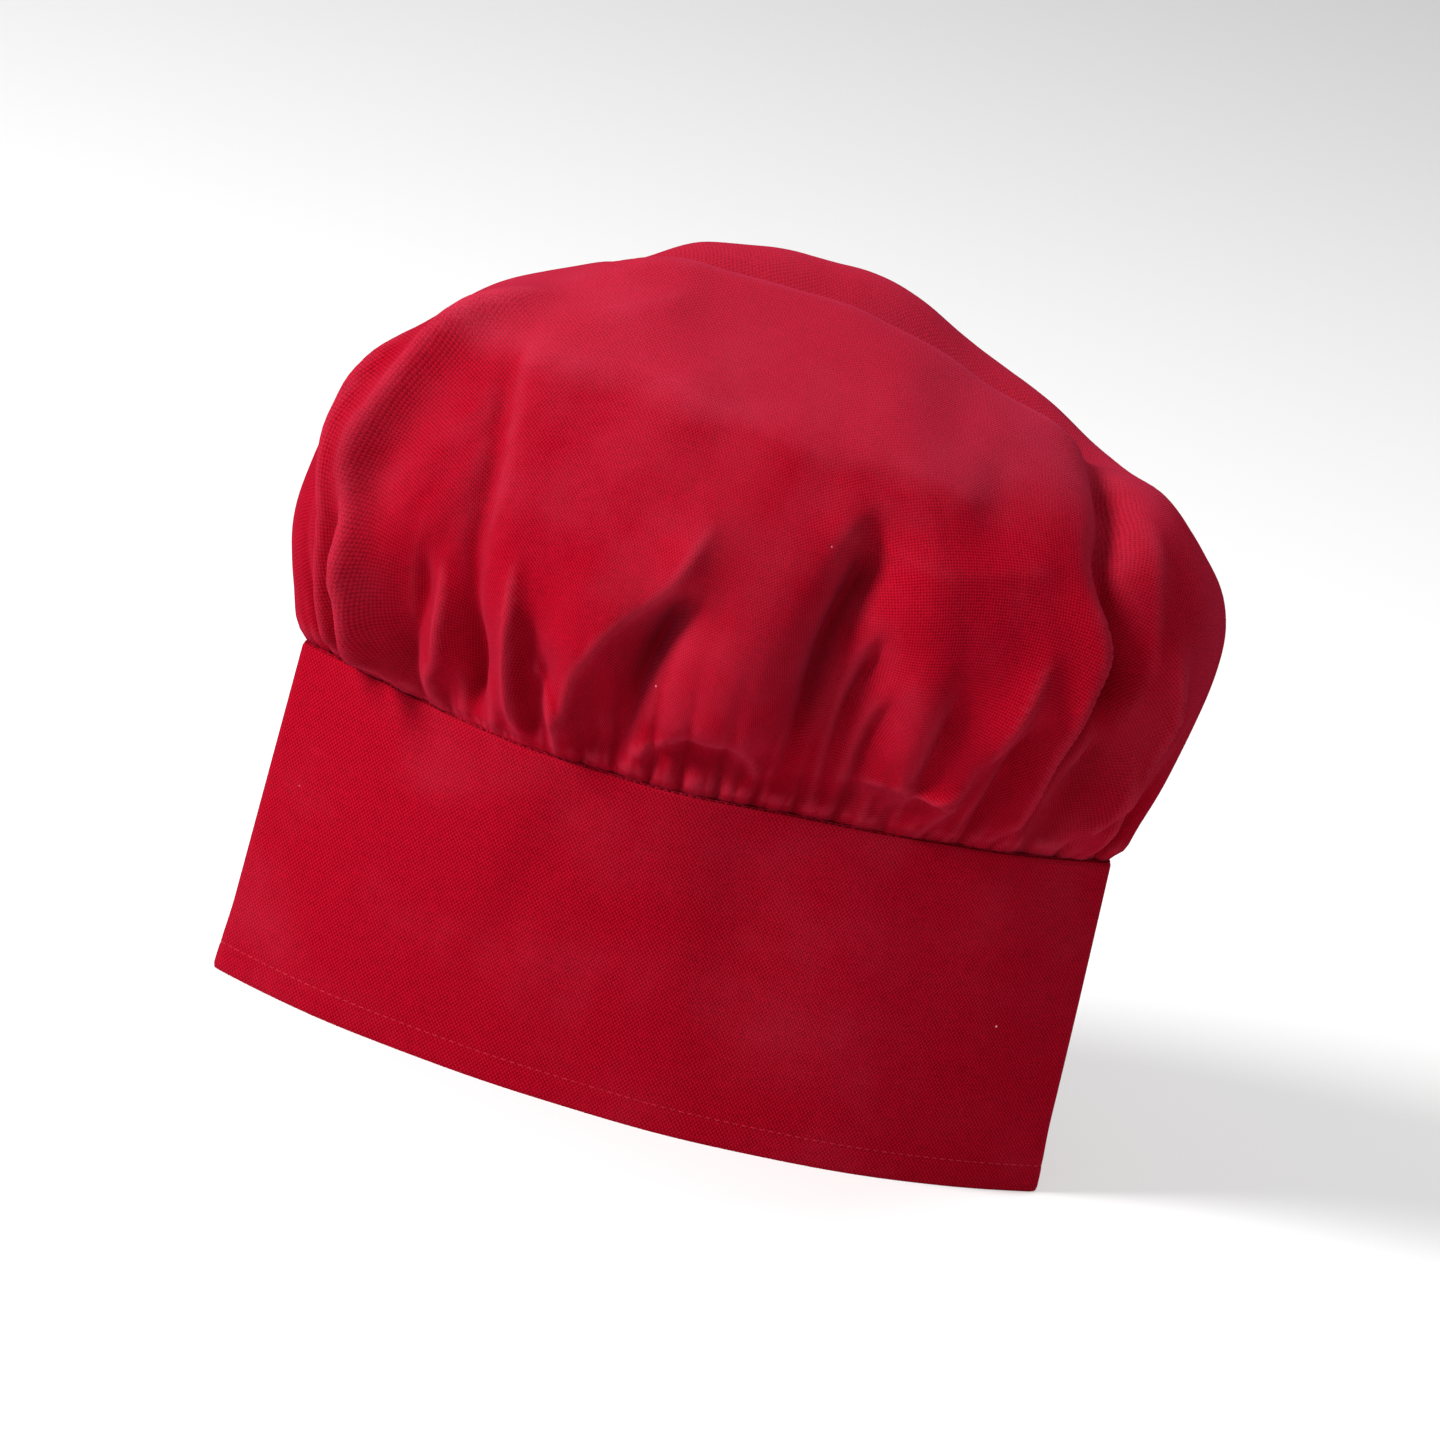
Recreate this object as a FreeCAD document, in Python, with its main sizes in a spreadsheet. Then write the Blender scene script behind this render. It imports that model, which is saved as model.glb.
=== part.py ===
import FreeCAD, Part
import math
import os

import Sketcher

# A chef's toque in cotton: a stiffened band and a gathered puffy crown, closed at the back by a
# hook-and-loop tab. X runs across the width, -Y is the front, +Z is up, and the rim stands on Z = 0.

doc = FreeCAD.newDocument("ChefToque")
sheet = doc.addObject("Spreadsheet::Sheet", "Sizes")

DRIVING_SIZES = [
    ("bandWidth", 280, "outside width of the band, crease to crease"),
    ("bandDepth", 96, "outside depth of the band, front to back"),
    ("bandHeight", 115, "height of the band"),
    ("creaseRadius", 5, "outside radius of the band's side creases"),
    ("clothThickness", 0.6, "cotton of one band panel"),
    ("stiffenerThickness", 0.4, "fusible interfacing"),
    ("layerGap", 0.1, "air between two layers"),
    ("stiffenerInset", 1.5, "interfacing stops this far short of both edges"),
    ("crownWidth", 304, "width of the puffed crown"),
    ("crownDepth", 150, "depth of the puffed crown"),
    ("crownMiddle", 165, "height at which the crown is widest"),
    ("crownTop", 284, "height of the crown"),
    ("crownWall", 0.8, "wall of the crown"),
    ("crownRoundness", 0.5, "end radius of a crown section, as a share of its half depth"),
    ("allowanceHeight", 12, "gathered seam allowance inside the band"),
    ("allowanceThickness", 2, "thickness of the gathered allowance"),
    ("seamStitchDrop", 1, "crown seam below the band's top edge"),
    ("upperGatherDrop", 4, "upper gathering thread below the band's top edge"),
    ("lowerGatherDrop", 8, "lower gathering thread below the band's top edge"),
    ("threadWidth", 0.4, "width of a stitch line"),
    ("threadProud", 0.3, "how far a stitch line stands out of the cloth"),
    ("hemStitchHeight", 9, "hem stitching above the rim"),
    ("overlockHeight", 2.2, "overlocked edge of the allowance"),
    ("slitStart", 26, "where the band's under end stops"),
    ("slitEnd", 32, "where the band's other end stops"),
    ("slitOverrun", 1, "the slit is cut this far past the band's edges"),
    ("tabStart", -32, "free end of the tab"),
    ("tabEnd", 37, "root of the tab"),
    ("tabLift", 2.8, "gap between the band and the tab, filled by the hook and loop"),
    ("bendGap", 3, "bare cloth at the bend between the tab and its sewn-down end"),
    ("flangeLength", 12, "sewn-down end of the tab"),
    ("bendLift", 2.2, "height of the bend's axis over the band's face"),
    ("tabMargin", 1.5, "tab stops this far short of the rim and the crown seam"),
    ("edgeStitchInset", 5, "stitches from the tab's free end"),
    ("hemStitchInset", 6, "the tab's hem stitches start this far from its free end"),
    ("rootStitchNear", 3, "first row of stitches from the sewn-down end's inner edge"),
    ("rootStitchFar", 7, "second row of stitches from the sewn-down end's inner edge"),
    ("stitchMargin", 1, "a row of stitches stops this far short of the cloth's edge"),
    ("stripThickness", 1.1, "thickness of one hook or loop strip"),
    ("stripHeight", 20, "height of a hook or loop strip"),
    ("loopStart", -28, "loop strip, free side"),
    ("loopEnd", 22, "loop strip, under end"),
    ("hookStart", -27, "hook patch, free side"),
    ("hookEnd", 3, "hook patch, root side"),
    ("lowerStrip", 20, "height of the lower strips"),
    ("upperStrip", 76, "height of the upper strips"),
    ("labelWidth", 28, "width of the care label"),
    ("labelLength", 40, "hanging length of the care label"),
    ("labelPly", 0.3, "ribbon thickness of the care label"),
    ("labelGap", 0.4, "air inside the folded care label"),
    ("labelTop", 111.5, "height of the label's sewn edge"),
    ("labelOffset", 0.9, "air between the gathered allowance and the label"),
    ("labelStitchGap", 0.6, "label stitch above the label's edge"),
    ("labelStitchReach", 0.3, "the label's stitches reach this far past it"),
    ("labelBend", 0.5, "the label bends this far below its edge"),
    ("labelAngle", 15, "turn of the label round the band's back"),
]
for row, (alias, number, note) in enumerate(DRIVING_SIZES, start=1):
    sheet.set(f"A{row}", note)
    sheet.set(f"B{row}", str(number))
    sheet.setAlias(f"B{row}", alias)
doc.recompute()
ALIASES = [alias for alias, _, _ in DRIVING_SIZES]


def bound(text):
    """A formula on the sheet's aliases, as an expression that other objects can use."""
    words = sorted(ALIASES, key=len, reverse=True)
    for number, word in enumerate(words):
        text = text.replace(word, f"@{number}@")
    for number, word in enumerate(words):
        text = text.replace(f"@{number}@", f"<<Sizes>>.{word}")
    return text


def value(text):
    return float(sheet.evalExpression(bound(text)))


def inside(outer_gap):
    """Half width, half depth and crease radius of the band's outline, moved inwards by a formula."""
    gap = f"({outer_gap})"
    return f"(bandWidth/2-{gap})", f"(bandDepth/2-{gap})", f"(creaseRadius-{gap})"


def wide_radius(half_width, half_depth, crease):
    """The radius of an outline's two wide arcs, as a formula."""
    return f"((({half_width}-{crease})^2+{half_depth}^2-{crease}^2)/(2*({half_depth}-{crease})))"


def new_body(name):
    body = doc.addObject("PartDesign::Body", name)
    body.Label = name
    return body


def new_sketch(body, name, height="0"):
    """A sketch on the body's XY plane, raised to a height."""
    sketch = body.newObject("Sketcher::SketchObject", name)
    plane = next(f for f in body.Origin.OriginFeatures if f.Role == "XY_Plane")
    sketch.AttachmentSupport = (plane, [""])
    sketch.MapMode = "FlatFace"
    sketch.setExpression("AttachmentOffset.Base.z", bound(height))
    return sketch


def dimension(sketch, kind, formula, *where):
    """A dimensional constraint bound to a formula."""
    name = f"size{sketch.ConstraintCount}"
    index = sketch.addConstraint(Sketcher.Constraint(kind, *where, abs(value(formula))))
    sketch.renameConstraint(index, name)
    sketch.setExpression(f"Constraints.{name}", bound(formula))


def add_oval(sketch, half_width, half_depth, crease):
    """A closed outline of two wide arcs, front and back, joined by a small arc at each side."""
    wide = wide_radius(half_width, half_depth, crease)
    back = f"({wide}-{half_depth})"
    joint_x = f"(({half_width}-{crease})*{wide}/({wide}-{crease}))"
    joint_y = f"({back}*{crease}/({wide}-{crease}))"
    big, small, offset = value(wide), value(crease), value(back)
    x, y, side = value(joint_x), value(joint_y), value(f"{half_width}-{crease}")
    corners = [(-x, -y), (x, -y), (x, y), (-x, y)]
    centres = [(0, offset, big), (side, 0, small), (0, -offset, big), (-side, 0, small)]
    arcs = []
    for number, (cx, cy, radius) in enumerate(centres):
        start, end = corners[number], corners[(number + 1) % 4]
        circle = Part.Circle(FreeCAD.Vector(cx, cy, 0), FreeCAD.Vector(0, 0, 1), radius)
        begin = math.atan2(start[1] - cy, start[0] - cx)
        finish = math.atan2(end[1] - cy, end[0] - cx)
        if finish <= begin:
            finish += 2 * math.pi
        arcs.append(sketch.addGeometry(Part.ArcOfCircle(circle, begin, finish), False))
    front, right, rear, left = arcs
    for one, other in ((front, right), (right, rear), (rear, left), (left, front)):
        sketch.addConstraint(Sketcher.Constraint("Coincident", one, 2, other, 1))
    sketch.addConstraint(Sketcher.Constraint("Symmetric", right, 1, right, 2, -1))
    sketch.addConstraint(Sketcher.Constraint("Symmetric", front, 1, front, 2, -2))
    sketch.addConstraint(Sketcher.Constraint("Symmetric", rear, 1, rear, 2, -2))
    dimension(sketch, "DistanceX", joint_x, -1, 1, right, 2)
    dimension(sketch, "DistanceY", joint_y, -1, 1, right, 2)
    dimension(sketch, "Radius", wide, front)
    dimension(sketch, "Radius", wide, rear)
    dimension(sketch, "Radius", crease, right)
    dimension(sketch, "Radius", crease, left)


def add_strip(sketch, gap, thickness, start, end):
    """An arc-shaped strip along the band's back: its inner face is a gap outside the band's face."""
    half_width, half_depth, crease = inside("0")
    wide = wide_radius(half_width, half_depth, crease)
    centre = FreeCAD.Vector(0, value(f"{half_depth}-{wide}"), 0)
    arcs = []
    for extra in (f"({gap})", f"({gap}+{thickness})"):
        radius = value(f"{wide}+{extra}")
        circle = Part.Circle(centre, FreeCAD.Vector(0, 0, 1), radius)
        begin = math.acos(value(end) / radius)
        finish = math.acos(value(start) / radius)
        arcs.append(sketch.addGeometry(Part.ArcOfCircle(circle, begin, finish), False))
    inner, outer = arcs
    for point in (1, 2):
        near = sketch.getPoint(inner, point)
        far = sketch.getPoint(outer, point)
        line = sketch.addGeometry(Part.LineSegment(near, far), False)
        sketch.addConstraint(Sketcher.Constraint("Coincident", line, 1, inner, point))
        sketch.addConstraint(Sketcher.Constraint("Coincident", line, 2, outer, point))
    sketch.addConstraint(Sketcher.Constraint("Coincident", inner, 3, outer, 3))
    sketch.addConstraint(Sketcher.Constraint("PointOnObject", inner, 3, -2))
    dimension(sketch, "DistanceY", f"{wide}-{half_depth}", inner, 3, -1, 1)
    dimension(sketch, "Radius", f"{wide}+{gap}", inner)
    dimension(sketch, "Radius", f"{wide}+{gap}+{thickness}", outer)
    for arc in arcs:
        for point, place in ((1, end), (2, start)):
            if value(place) < 0:
                dimension(sketch, "DistanceX", f"-({place})", arc, point, -1, 1)
            else:
                dimension(sketch, "DistanceX", place, -1, 1, arc, point)


def add_pad(body, sketch, length):
    pad = body.newObject("PartDesign::Pad", sketch.Name + "_pad")
    pad.Profile = sketch
    pad.setExpression("Length", bound(length))
    sketch.Visibility = False
    doc.recompute()
    return pad


def ring(body, name, outer_gap, thickness, bottom, height):
    """A closed ring that follows the band's outline, outer_gap inside its outer face."""
    sketch = new_sketch(body, name, bottom)
    add_oval(sketch, *inside(outer_gap))
    add_oval(sketch, *inside(f"{outer_gap}+{thickness}"))
    return add_pad(body, sketch, height)


def strip(body, name, gap, thickness, start, end, bottom, height):
    sketch = new_sketch(body, name, bottom)
    add_strip(sketch, gap, thickness, start, end)
    return add_pad(body, sketch, height)


def open_the_back(body):
    """Cuts the slit between the two ends of the band, at the back only."""
    before = body.Shape.Volume
    sketch = body.newObject("Sketcher::SketchObject", body.Name + "_slit")
    plane = next(f for f in body.Origin.OriginFeatures if f.Role == "XZ_Plane")
    sketch.AttachmentSupport = (plane, [""])
    sketch.MapMode = "FlatFace"
    low, high = -value("slitOverrun"), value("bandHeight+slitOverrun")
    left, right = value("slitStart"), value("slitEnd")
    corners = [(left, low), (right, low), (right, high), (left, high)]
    lines = []
    for number in range(4):
        start = FreeCAD.Vector(*corners[number], 0)
        end = FreeCAD.Vector(*corners[(number + 1) % 4], 0)
        lines.append(sketch.addGeometry(Part.LineSegment(start, end), False))
    for number in range(4):
        place = (lines[number], 2, lines[(number + 1) % 4], 1)
        sketch.addConstraint(Sketcher.Constraint("Coincident", *place))
    for number, kind in enumerate(("Horizontal", "Vertical", "Horizontal", "Vertical")):
        sketch.addConstraint(Sketcher.Constraint(kind, lines[number]))
    dimension(sketch, "DistanceX", "slitStart", -1, 1, lines[0], 1)
    dimension(sketch, "DistanceX", "slitEnd", -1, 1, lines[0], 2)
    dimension(sketch, "DistanceY", "slitOverrun", lines[0], 1, -1, 1)
    dimension(sketch, "DistanceY", "bandHeight+slitOverrun", -1, 1, lines[2], 1)
    pocket = body.newObject("PartDesign::Pocket", body.Name + "_slit_cut")
    pocket.Profile = sketch
    pocket.Type = "Length"
    pocket.setExpression("Length", bound("bandDepth"))
    doc.recompute()
    if body.Shape.Volume > before - SMALLEST_CUT:
        pocket.Reversed = True
        doc.recompute()
    if body.Shape.Volume > before - SMALLEST_CUT:
        raise RuntimeError(f"the slit cuts nothing from {body.Name}")
    sketch.Visibility = False


# The gaps at which the band's layers lie, counted inwards from its outer face.
STIFFENER_GAP = "clothThickness+layerGap"
LINING_GAP = f"{STIFFENER_GAP}+stiffenerThickness+layerGap"
INNER_FACE = f"{LINING_GAP}+clothThickness"
ALLOWANCE_GAP = f"{INNER_FACE}+layerGap"
ALLOWANCE_FACE = f"{ALLOWANCE_GAP}+allowanceThickness"

# The tab's height, where its upright rows of stitches start and how tall they are, and the gap
# between the band's face and the tab's sewn-down end.
TAB_HEIGHT = "bandHeight-2*tabMargin"
STITCH_RISE = ("tabMargin+stitchMargin", f"{TAB_HEIGHT}-2*stitchMargin")
FLANGE_GAP = "threadProud+layerGap"

# Levels of the crown's sections: angles in degrees above its widest level.
CROWN_ANGLES = (-14, 0, 25, 45, 65, 82)

# A cut that takes away less than this, in cubic millimetres, has missed.
SMALLEST_CUT = 0.1


def make_band():
    outer = new_body("band_outer_panel")
    ring(outer, "outer_outline", "0", "clothThickness", "0", "bandHeight")
    stiffener = new_body("band_interfacing")
    length = "bandHeight-2*stiffenerInset"
    ring(stiffener, "core_outline", STIFFENER_GAP, "stiffenerThickness", "stiffenerInset", length)
    lining = new_body("band_inner_panel")
    ring(lining, "lining_outline", LINING_GAP, "clothThickness", "0", "bandHeight")
    for body in (outer, stiffener, lining):
        open_the_back(body)


def make_hem_stitching():
    """The same row of stitches shows on the outer face and on the lining."""
    for name, gap in (("hem_topstitch", "-threadProud"), ("hem_bobbin_stitch", INNER_FACE)):
        body = new_body(name)
        ring(body, name + "_line", gap, "threadProud", "hemStitchHeight", "threadWidth")
        open_the_back(body)


def crown_outline(body, name, angle, wall):
    """A crown section: angle in degrees above the widest level, wall inwards from the outside."""
    height = f"crownMiddle+(crownTop-crownMiddle-{wall})*sin({angle})"
    half_width = f"((crownWidth/2-{wall})*cos({angle}))"
    half_depth = f"((crownDepth/2-{wall})*cos({angle}))"
    sketch = new_sketch(body, name, height)
    add_oval(sketch, half_width, half_depth, f"(crownRoundness*{half_depth})")
    return sketch


def crown_sections(body, name, wall):
    seam = new_sketch(body, f"{name}_seam", "bandHeight+layerGap")
    add_oval(seam, *inside(wall))
    return [seam] + [
        crown_outline(body, f"{name}_{number}", f"{angle} deg", wall)
        for number, angle in enumerate(CROWN_ANGLES)
    ]


def make_crown():
    """The puffed cloth, the fold over the band's top edge and the gathered allowance below it."""
    body = new_body("crown_fabric")
    for kind, wall in (("Additive", "0"), ("Subtractive", "crownWall")):
        sections = crown_sections(body, f"{kind.lower()}_section", wall)
        loft = body.newObject(f"PartDesign::{kind}Loft", f"crown_{kind.lower()}_loft")
        loft.Profile = sections[0]
        loft.Sections = sections[1:]
        loft.Ruled = False
        for sketch in sections:
            sketch.Visibility = False
        doc.recompute()
    top = "bandHeight+layerGap"
    ring(body, "seam_fold", "0", ALLOWANCE_FACE, top, "crownWall")
    bottom = "bandHeight-allowanceHeight"
    height = "allowanceHeight+layerGap+crownWall"
    ring(body, "allowance", ALLOWANCE_GAP, "allowanceThickness", bottom, height)


def make_seam_threads():
    """The crown's seam and its two gathering threads, all on the face of the gathered allowance."""
    rows = [
        ("crown_seam_stitch", "seamStitchDrop"),
        ("gathering_thread_upper", "upperGatherDrop"),
        ("gathering_thread_lower", "lowerGatherDrop"),
    ]
    for name, drop in rows:
        body = new_body(name)
        place = (ALLOWANCE_FACE, "threadProud", f"bandHeight-{drop}", "threadWidth")
        ring(body, name + "_line", *place)
    overlock = new_body("seam_overlock_thread")
    bottom = "bandHeight-allowanceHeight-layerGap-overlockHeight"
    ring(overlock, "overlock", ALLOWANCE_GAP, "allowanceThickness", bottom, "overlockHeight")


def make_loop_strips():
    """The soft side of the closure, sewn on the band's under end."""
    for name, height in (("lower", "lowerStrip"), ("upper", "upperStrip")):
        body = new_body(f"loop_strip_{name}")
        place = ("loopStart", "loopEnd", height, "stripHeight")
        strip(body, f"loop_{name}", "layerGap", "stripThickness", *place)


def make_tab():
    """Three layers of cloth that cross the slit, with two hook patches on the inner face."""
    layers = [
        ("tab_inner_panel", "tabLift", "clothThickness"),
        ("tab_interfacing", "tabLift+clothThickness+layerGap", "stiffenerThickness"),
        (
            "tab_outer_panel",
            "tabLift+clothThickness+stiffenerThickness+2*layerGap",
            "clothThickness",
        ),
    ]
    for name, gap, thickness in layers:
        body = new_body(name)
        place = ("tabStart", "tabEnd", "tabMargin", TAB_HEIGHT)
        strip(body, name + "_outline", gap, thickness, *place)
    for name, height in (("lower", "lowerStrip"), ("upper", "upperStrip")):
        body = new_body(f"hook_patch_{name}")
        gap = "tabLift-layerGap-stripThickness"
        place = ("hookStart", "hookEnd", height, "stripHeight")
        strip(body, f"hook_{name}", gap, "stripThickness", *place)


def make_tab_root():
    """The tab's end that is sewn down on the band, past the bend."""
    body = new_body("tab_root_flange")
    thickness = "2*clothThickness+stiffenerThickness"
    place = ("tabEnd+bendGap", "tabEnd+bendGap+flangeLength", "tabMargin", TAB_HEIGHT)
    strip(body, "flange_outline", FLANGE_GAP, thickness, *place)
    for name, inset in (("inner", "rootStitchNear"), ("outer", "rootStitchFar")):
        body = new_body(f"tab_root_topstitch_{name}")
        start = f"tabEnd+bendGap+{inset}"
        place = (start, f"{start}+threadWidth", *STITCH_RISE)
        strip(body, f"root_{name}", f"{FLANGE_GAP}+{thickness}", "threadProud", *place)


def make_tab_stitching():
    """Stitches along the tab's free end, and the hem's stitches carried on across the tab."""
    face = "tabLift+2*clothThickness+stiffenerThickness+2*layerGap"
    end = new_body("tab_edge_topstitch")
    start = "tabStart+edgeStitchInset"
    place = (start, f"{start}+threadWidth", *STITCH_RISE)
    strip(end, "edge_line", face, "threadProud", *place)
    hem = new_body("tab_hem_topstitch")
    start, stop = "tabStart+hemStitchInset", "tabEnd-stitchMargin"
    place = (start, stop, "hemStitchHeight", "threadWidth")
    strip(hem, "tab_hem_line", face, "threadProud", *place)


def back_arc():
    """Radius and centre of the arc that the band's back follows."""
    radius = value(wide_radius(*inside("0")))
    return radius, value("bandDepth/2") - radius


def back_point(gap, angle):
    """A point on the band's back: gap inside its outer face, angle in degrees from the middle."""
    radius, centre = back_arc()
    turn = math.radians(angle)
    reach = radius - gap
    return FreeCAD.Vector(-reach * math.sin(turn), reach * math.cos(turn) + centre, 0)


def make_label():
    """A ribbon folded into a loop, hanging by its upper edge inside the back of the band."""
    half_gap, ply = value("labelGap") / 2, value("labelPly")
    label = new_body("care_label")
    sketch = label.newObject("Sketcher::SketchObject", "label_fold")
    plane = next(f for f in label.Origin.OriginFeatures if f.Role == "YZ_Plane")
    sketch.AttachmentSupport = (plane, [""])
    sketch.MapMode = "FlatFace"
    bottom = half_gap + ply - value("labelLength")
    origin, normal = FreeCAD.Vector(0, bottom, 0), FreeCAD.Vector(0, 0, 1)
    arcs = []
    for radius in (half_gap, half_gap + ply):
        circle = Part.Circle(origin, normal, radius)
        arcs.append(sketch.addGeometry(Part.ArcOfCircle(circle, math.pi, 2 * math.pi), False))
    inner, outer = arcs
    legs = []
    for arc, radius in ((inner, half_gap), (outer, half_gap + ply)):
        for point, side in ((1, -radius), (2, radius)):
            foot, head = FreeCAD.Vector(side, bottom, 0), FreeCAD.Vector(side, 0, 0)
            leg = sketch.addGeometry(Part.LineSegment(foot, head), False)
            sketch.addConstraint(Sketcher.Constraint("Coincident", leg, 1, arc, point))
            sketch.addConstraint(Sketcher.Constraint("Vertical", leg))
            sketch.addConstraint(Sketcher.Constraint("PointOnObject", leg, 2, -1))
            legs.append(leg)
    for one, other in ((legs[0], legs[2]), (legs[1], legs[3])):
        head, other_head = sketch.getPoint(one, 2), sketch.getPoint(other, 2)
        cap = sketch.addGeometry(Part.LineSegment(head, other_head), False)
        sketch.addConstraint(Sketcher.Constraint("Coincident", cap, 1, one, 2))
        sketch.addConstraint(Sketcher.Constraint("Coincident", cap, 2, other, 2))
    sketch.addConstraint(Sketcher.Constraint("Coincident", inner, 3, outer, 3))
    sketch.addConstraint(Sketcher.Constraint("PointOnObject", inner, 3, -2))
    for arc in arcs:
        sketch.addConstraint(Sketcher.Constraint("Horizontal", arc, 1, arc, 3))
        sketch.addConstraint(Sketcher.Constraint("Horizontal", arc, 2, arc, 3))
    dimension(sketch, "Radius", "labelGap/2", inner)
    dimension(sketch, "Radius", "labelGap/2+labelPly", outer)
    dimension(sketch, "DistanceY", "labelLength-labelGap/2-labelPly", inner, 3, -1, 1)
    pad = add_pad(label, sketch, "labelWidth")
    pad.Midplane = True
    half_thickness = half_gap + ply
    gap = value(ALLOWANCE_FACE) + value("labelOffset") + half_thickness
    place = back_point(gap, value("labelAngle"))
    place.z = value("labelTop")
    turned = FreeCAD.Rotation(FreeCAD.Vector(0, 0, 1), value("labelAngle"))
    label.Placement = FreeCAD.Placement(place, turned)
    stitch = doc.addObject("Part::Box", "label_stitch")
    stitch.Label = "label_stitch"
    stitch.setExpression("Length", bound("labelWidth"))
    stitch.setExpression("Width", bound("labelGap+2*labelPly+labelStitchReach"))
    stitch.setExpression("Height", bound("threadWidth"))
    corner = FreeCAD.Vector(-value("labelWidth") / 2, -half_thickness, value("labelStitchGap"))
    stitch.Placement = FreeCAD.Placement(place + turned.multVec(corner), turned)
    bend = place - FreeCAD.Vector(0, 0, value("labelBend"))
    along = turned.multVec(FreeCAD.Vector(-1, 0, 0))
    print("label bends at", [round(x, 3) for x in bend], "along", [round(x, 5) for x in along])


def print_tab_bend():
    """The vertical line about which the tab opens."""
    radius, centre = back_arc()
    reach, across = radius + value("bendLift"), value("tabEnd")
    print("tab bends at", [across, round(math.sqrt(reach**2 - across**2) + centre, 3), 0])


def make_everything():
    make_band()
    make_hem_stitching()
    make_crown()
    make_seam_threads()
    make_loop_strips()
    make_tab()
    make_tab_root()
    make_tab_stitching()
    make_label()
    print_tab_bend()
    doc.recompute()


def write_parts():
    broken = [o.Name for o in doc.Objects if {"Invalid", "Error"} & set(o.State)]
    if broken:
        raise RuntimeError(f"these objects failed: {broken}")
    parts = [o for o in doc.Objects if o.TypeId in ("PartDesign::Body", "Part::Box")]
    for part in parts:
        if part.Shape.isNull() or not part.Shape.isValid():
            raise RuntimeError(f"{part.Label} has no valid shape")
    os.makedirs("parts", exist_ok=True)
    for part in parts:
        part.Shape.exportStep(f"parts/{part.Label}.step")
        solids = len(part.Shape.Solids)
        print(f"{part.Label}: {solids} solid(s), {part.Shape.Volume:.0f} mm3")


make_everything()
write_parts()
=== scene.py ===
import bisect
import math
import random

import bmesh
import bpy
from mathutils import Matrix, Quaternion, Vector, noise


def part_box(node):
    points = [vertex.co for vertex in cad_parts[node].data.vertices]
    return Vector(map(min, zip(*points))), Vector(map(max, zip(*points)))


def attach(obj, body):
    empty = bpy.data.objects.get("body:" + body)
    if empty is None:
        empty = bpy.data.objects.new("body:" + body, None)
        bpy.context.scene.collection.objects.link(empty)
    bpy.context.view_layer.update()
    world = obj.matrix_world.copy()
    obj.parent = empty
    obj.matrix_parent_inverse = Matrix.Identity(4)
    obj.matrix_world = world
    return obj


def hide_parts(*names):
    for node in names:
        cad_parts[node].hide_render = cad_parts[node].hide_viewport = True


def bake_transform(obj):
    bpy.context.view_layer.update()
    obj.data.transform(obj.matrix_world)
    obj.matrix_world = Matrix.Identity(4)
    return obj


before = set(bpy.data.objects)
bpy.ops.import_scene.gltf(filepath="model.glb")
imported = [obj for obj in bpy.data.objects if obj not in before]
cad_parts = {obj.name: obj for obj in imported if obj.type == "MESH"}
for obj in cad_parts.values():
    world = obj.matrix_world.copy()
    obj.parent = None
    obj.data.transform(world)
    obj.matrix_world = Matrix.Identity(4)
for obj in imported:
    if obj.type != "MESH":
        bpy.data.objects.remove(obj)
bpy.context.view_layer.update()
scene = bpy.context.scene
scene.view_settings.view_transform = "Standard"
mm = 0.001


def addMesh(name, bm, material, smooth=True):
    mesh = bpy.data.meshes.new(name)
    bm.to_mesh(mesh)
    bm.free()
    mesh.polygons.foreach_set("use_smooth", [smooth] * len(mesh.polygons))
    piece = bpy.data.objects.new(name, mesh)
    scene.collection.objects.link(piece)
    mesh.materials.append(material)
    return piece


def addModifier(piece, kind, **settings):
    modifier = piece.modifiers.new(kind.title(), kind)
    for key, setting in settings.items():
        setattr(modifier, key, setting)
    return modifier


def applyModifiers(piece):
    depsgraph = bpy.context.evaluated_depsgraph_get()
    finished = bpy.data.meshes.new_from_object(piece.evaluated_get(depsgraph))
    piece.modifiers.clear()
    old = piece.data
    piece.data = finished
    finished.name = old.name
    bpy.data.meshes.remove(old)


def smoothStep(low, high, x):
    x = min(max((x - low) / (high - low), 0.0), 1.0)
    return x * x * (3 - 2 * x)


def curveThrough(points, x):
    # A smooth curve through (x, y) points, read at x.
    places = [point[0] for point in points]
    if x <= places[0]:
        return points[0][1]
    if x >= places[-1]:
        return points[-1][1]
    i = bisect.bisect_right(places, x) - 1
    x0, y0 = points[i]
    x1, y1 = points[i + 1]
    before = points[i - 1] if i else points[i]
    after = points[i + 2] if i + 2 < len(points) else points[i + 1]
    m0 = (y1 - before[1]) / (x1 - before[0])
    m1 = (after[1] - y0) / (after[0] - x0)
    span, s = x1 - x0, (x - x0) / (x1 - x0)
    return (
        (2 * s**3 - 3 * s**2 + 1) * y0 + (s**3 - 2 * s**2 + s) * span * m0
        + (3 * s**2 - 2 * s**3) * y1 + (s**3 - s**2) * span * m1
    )


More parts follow.
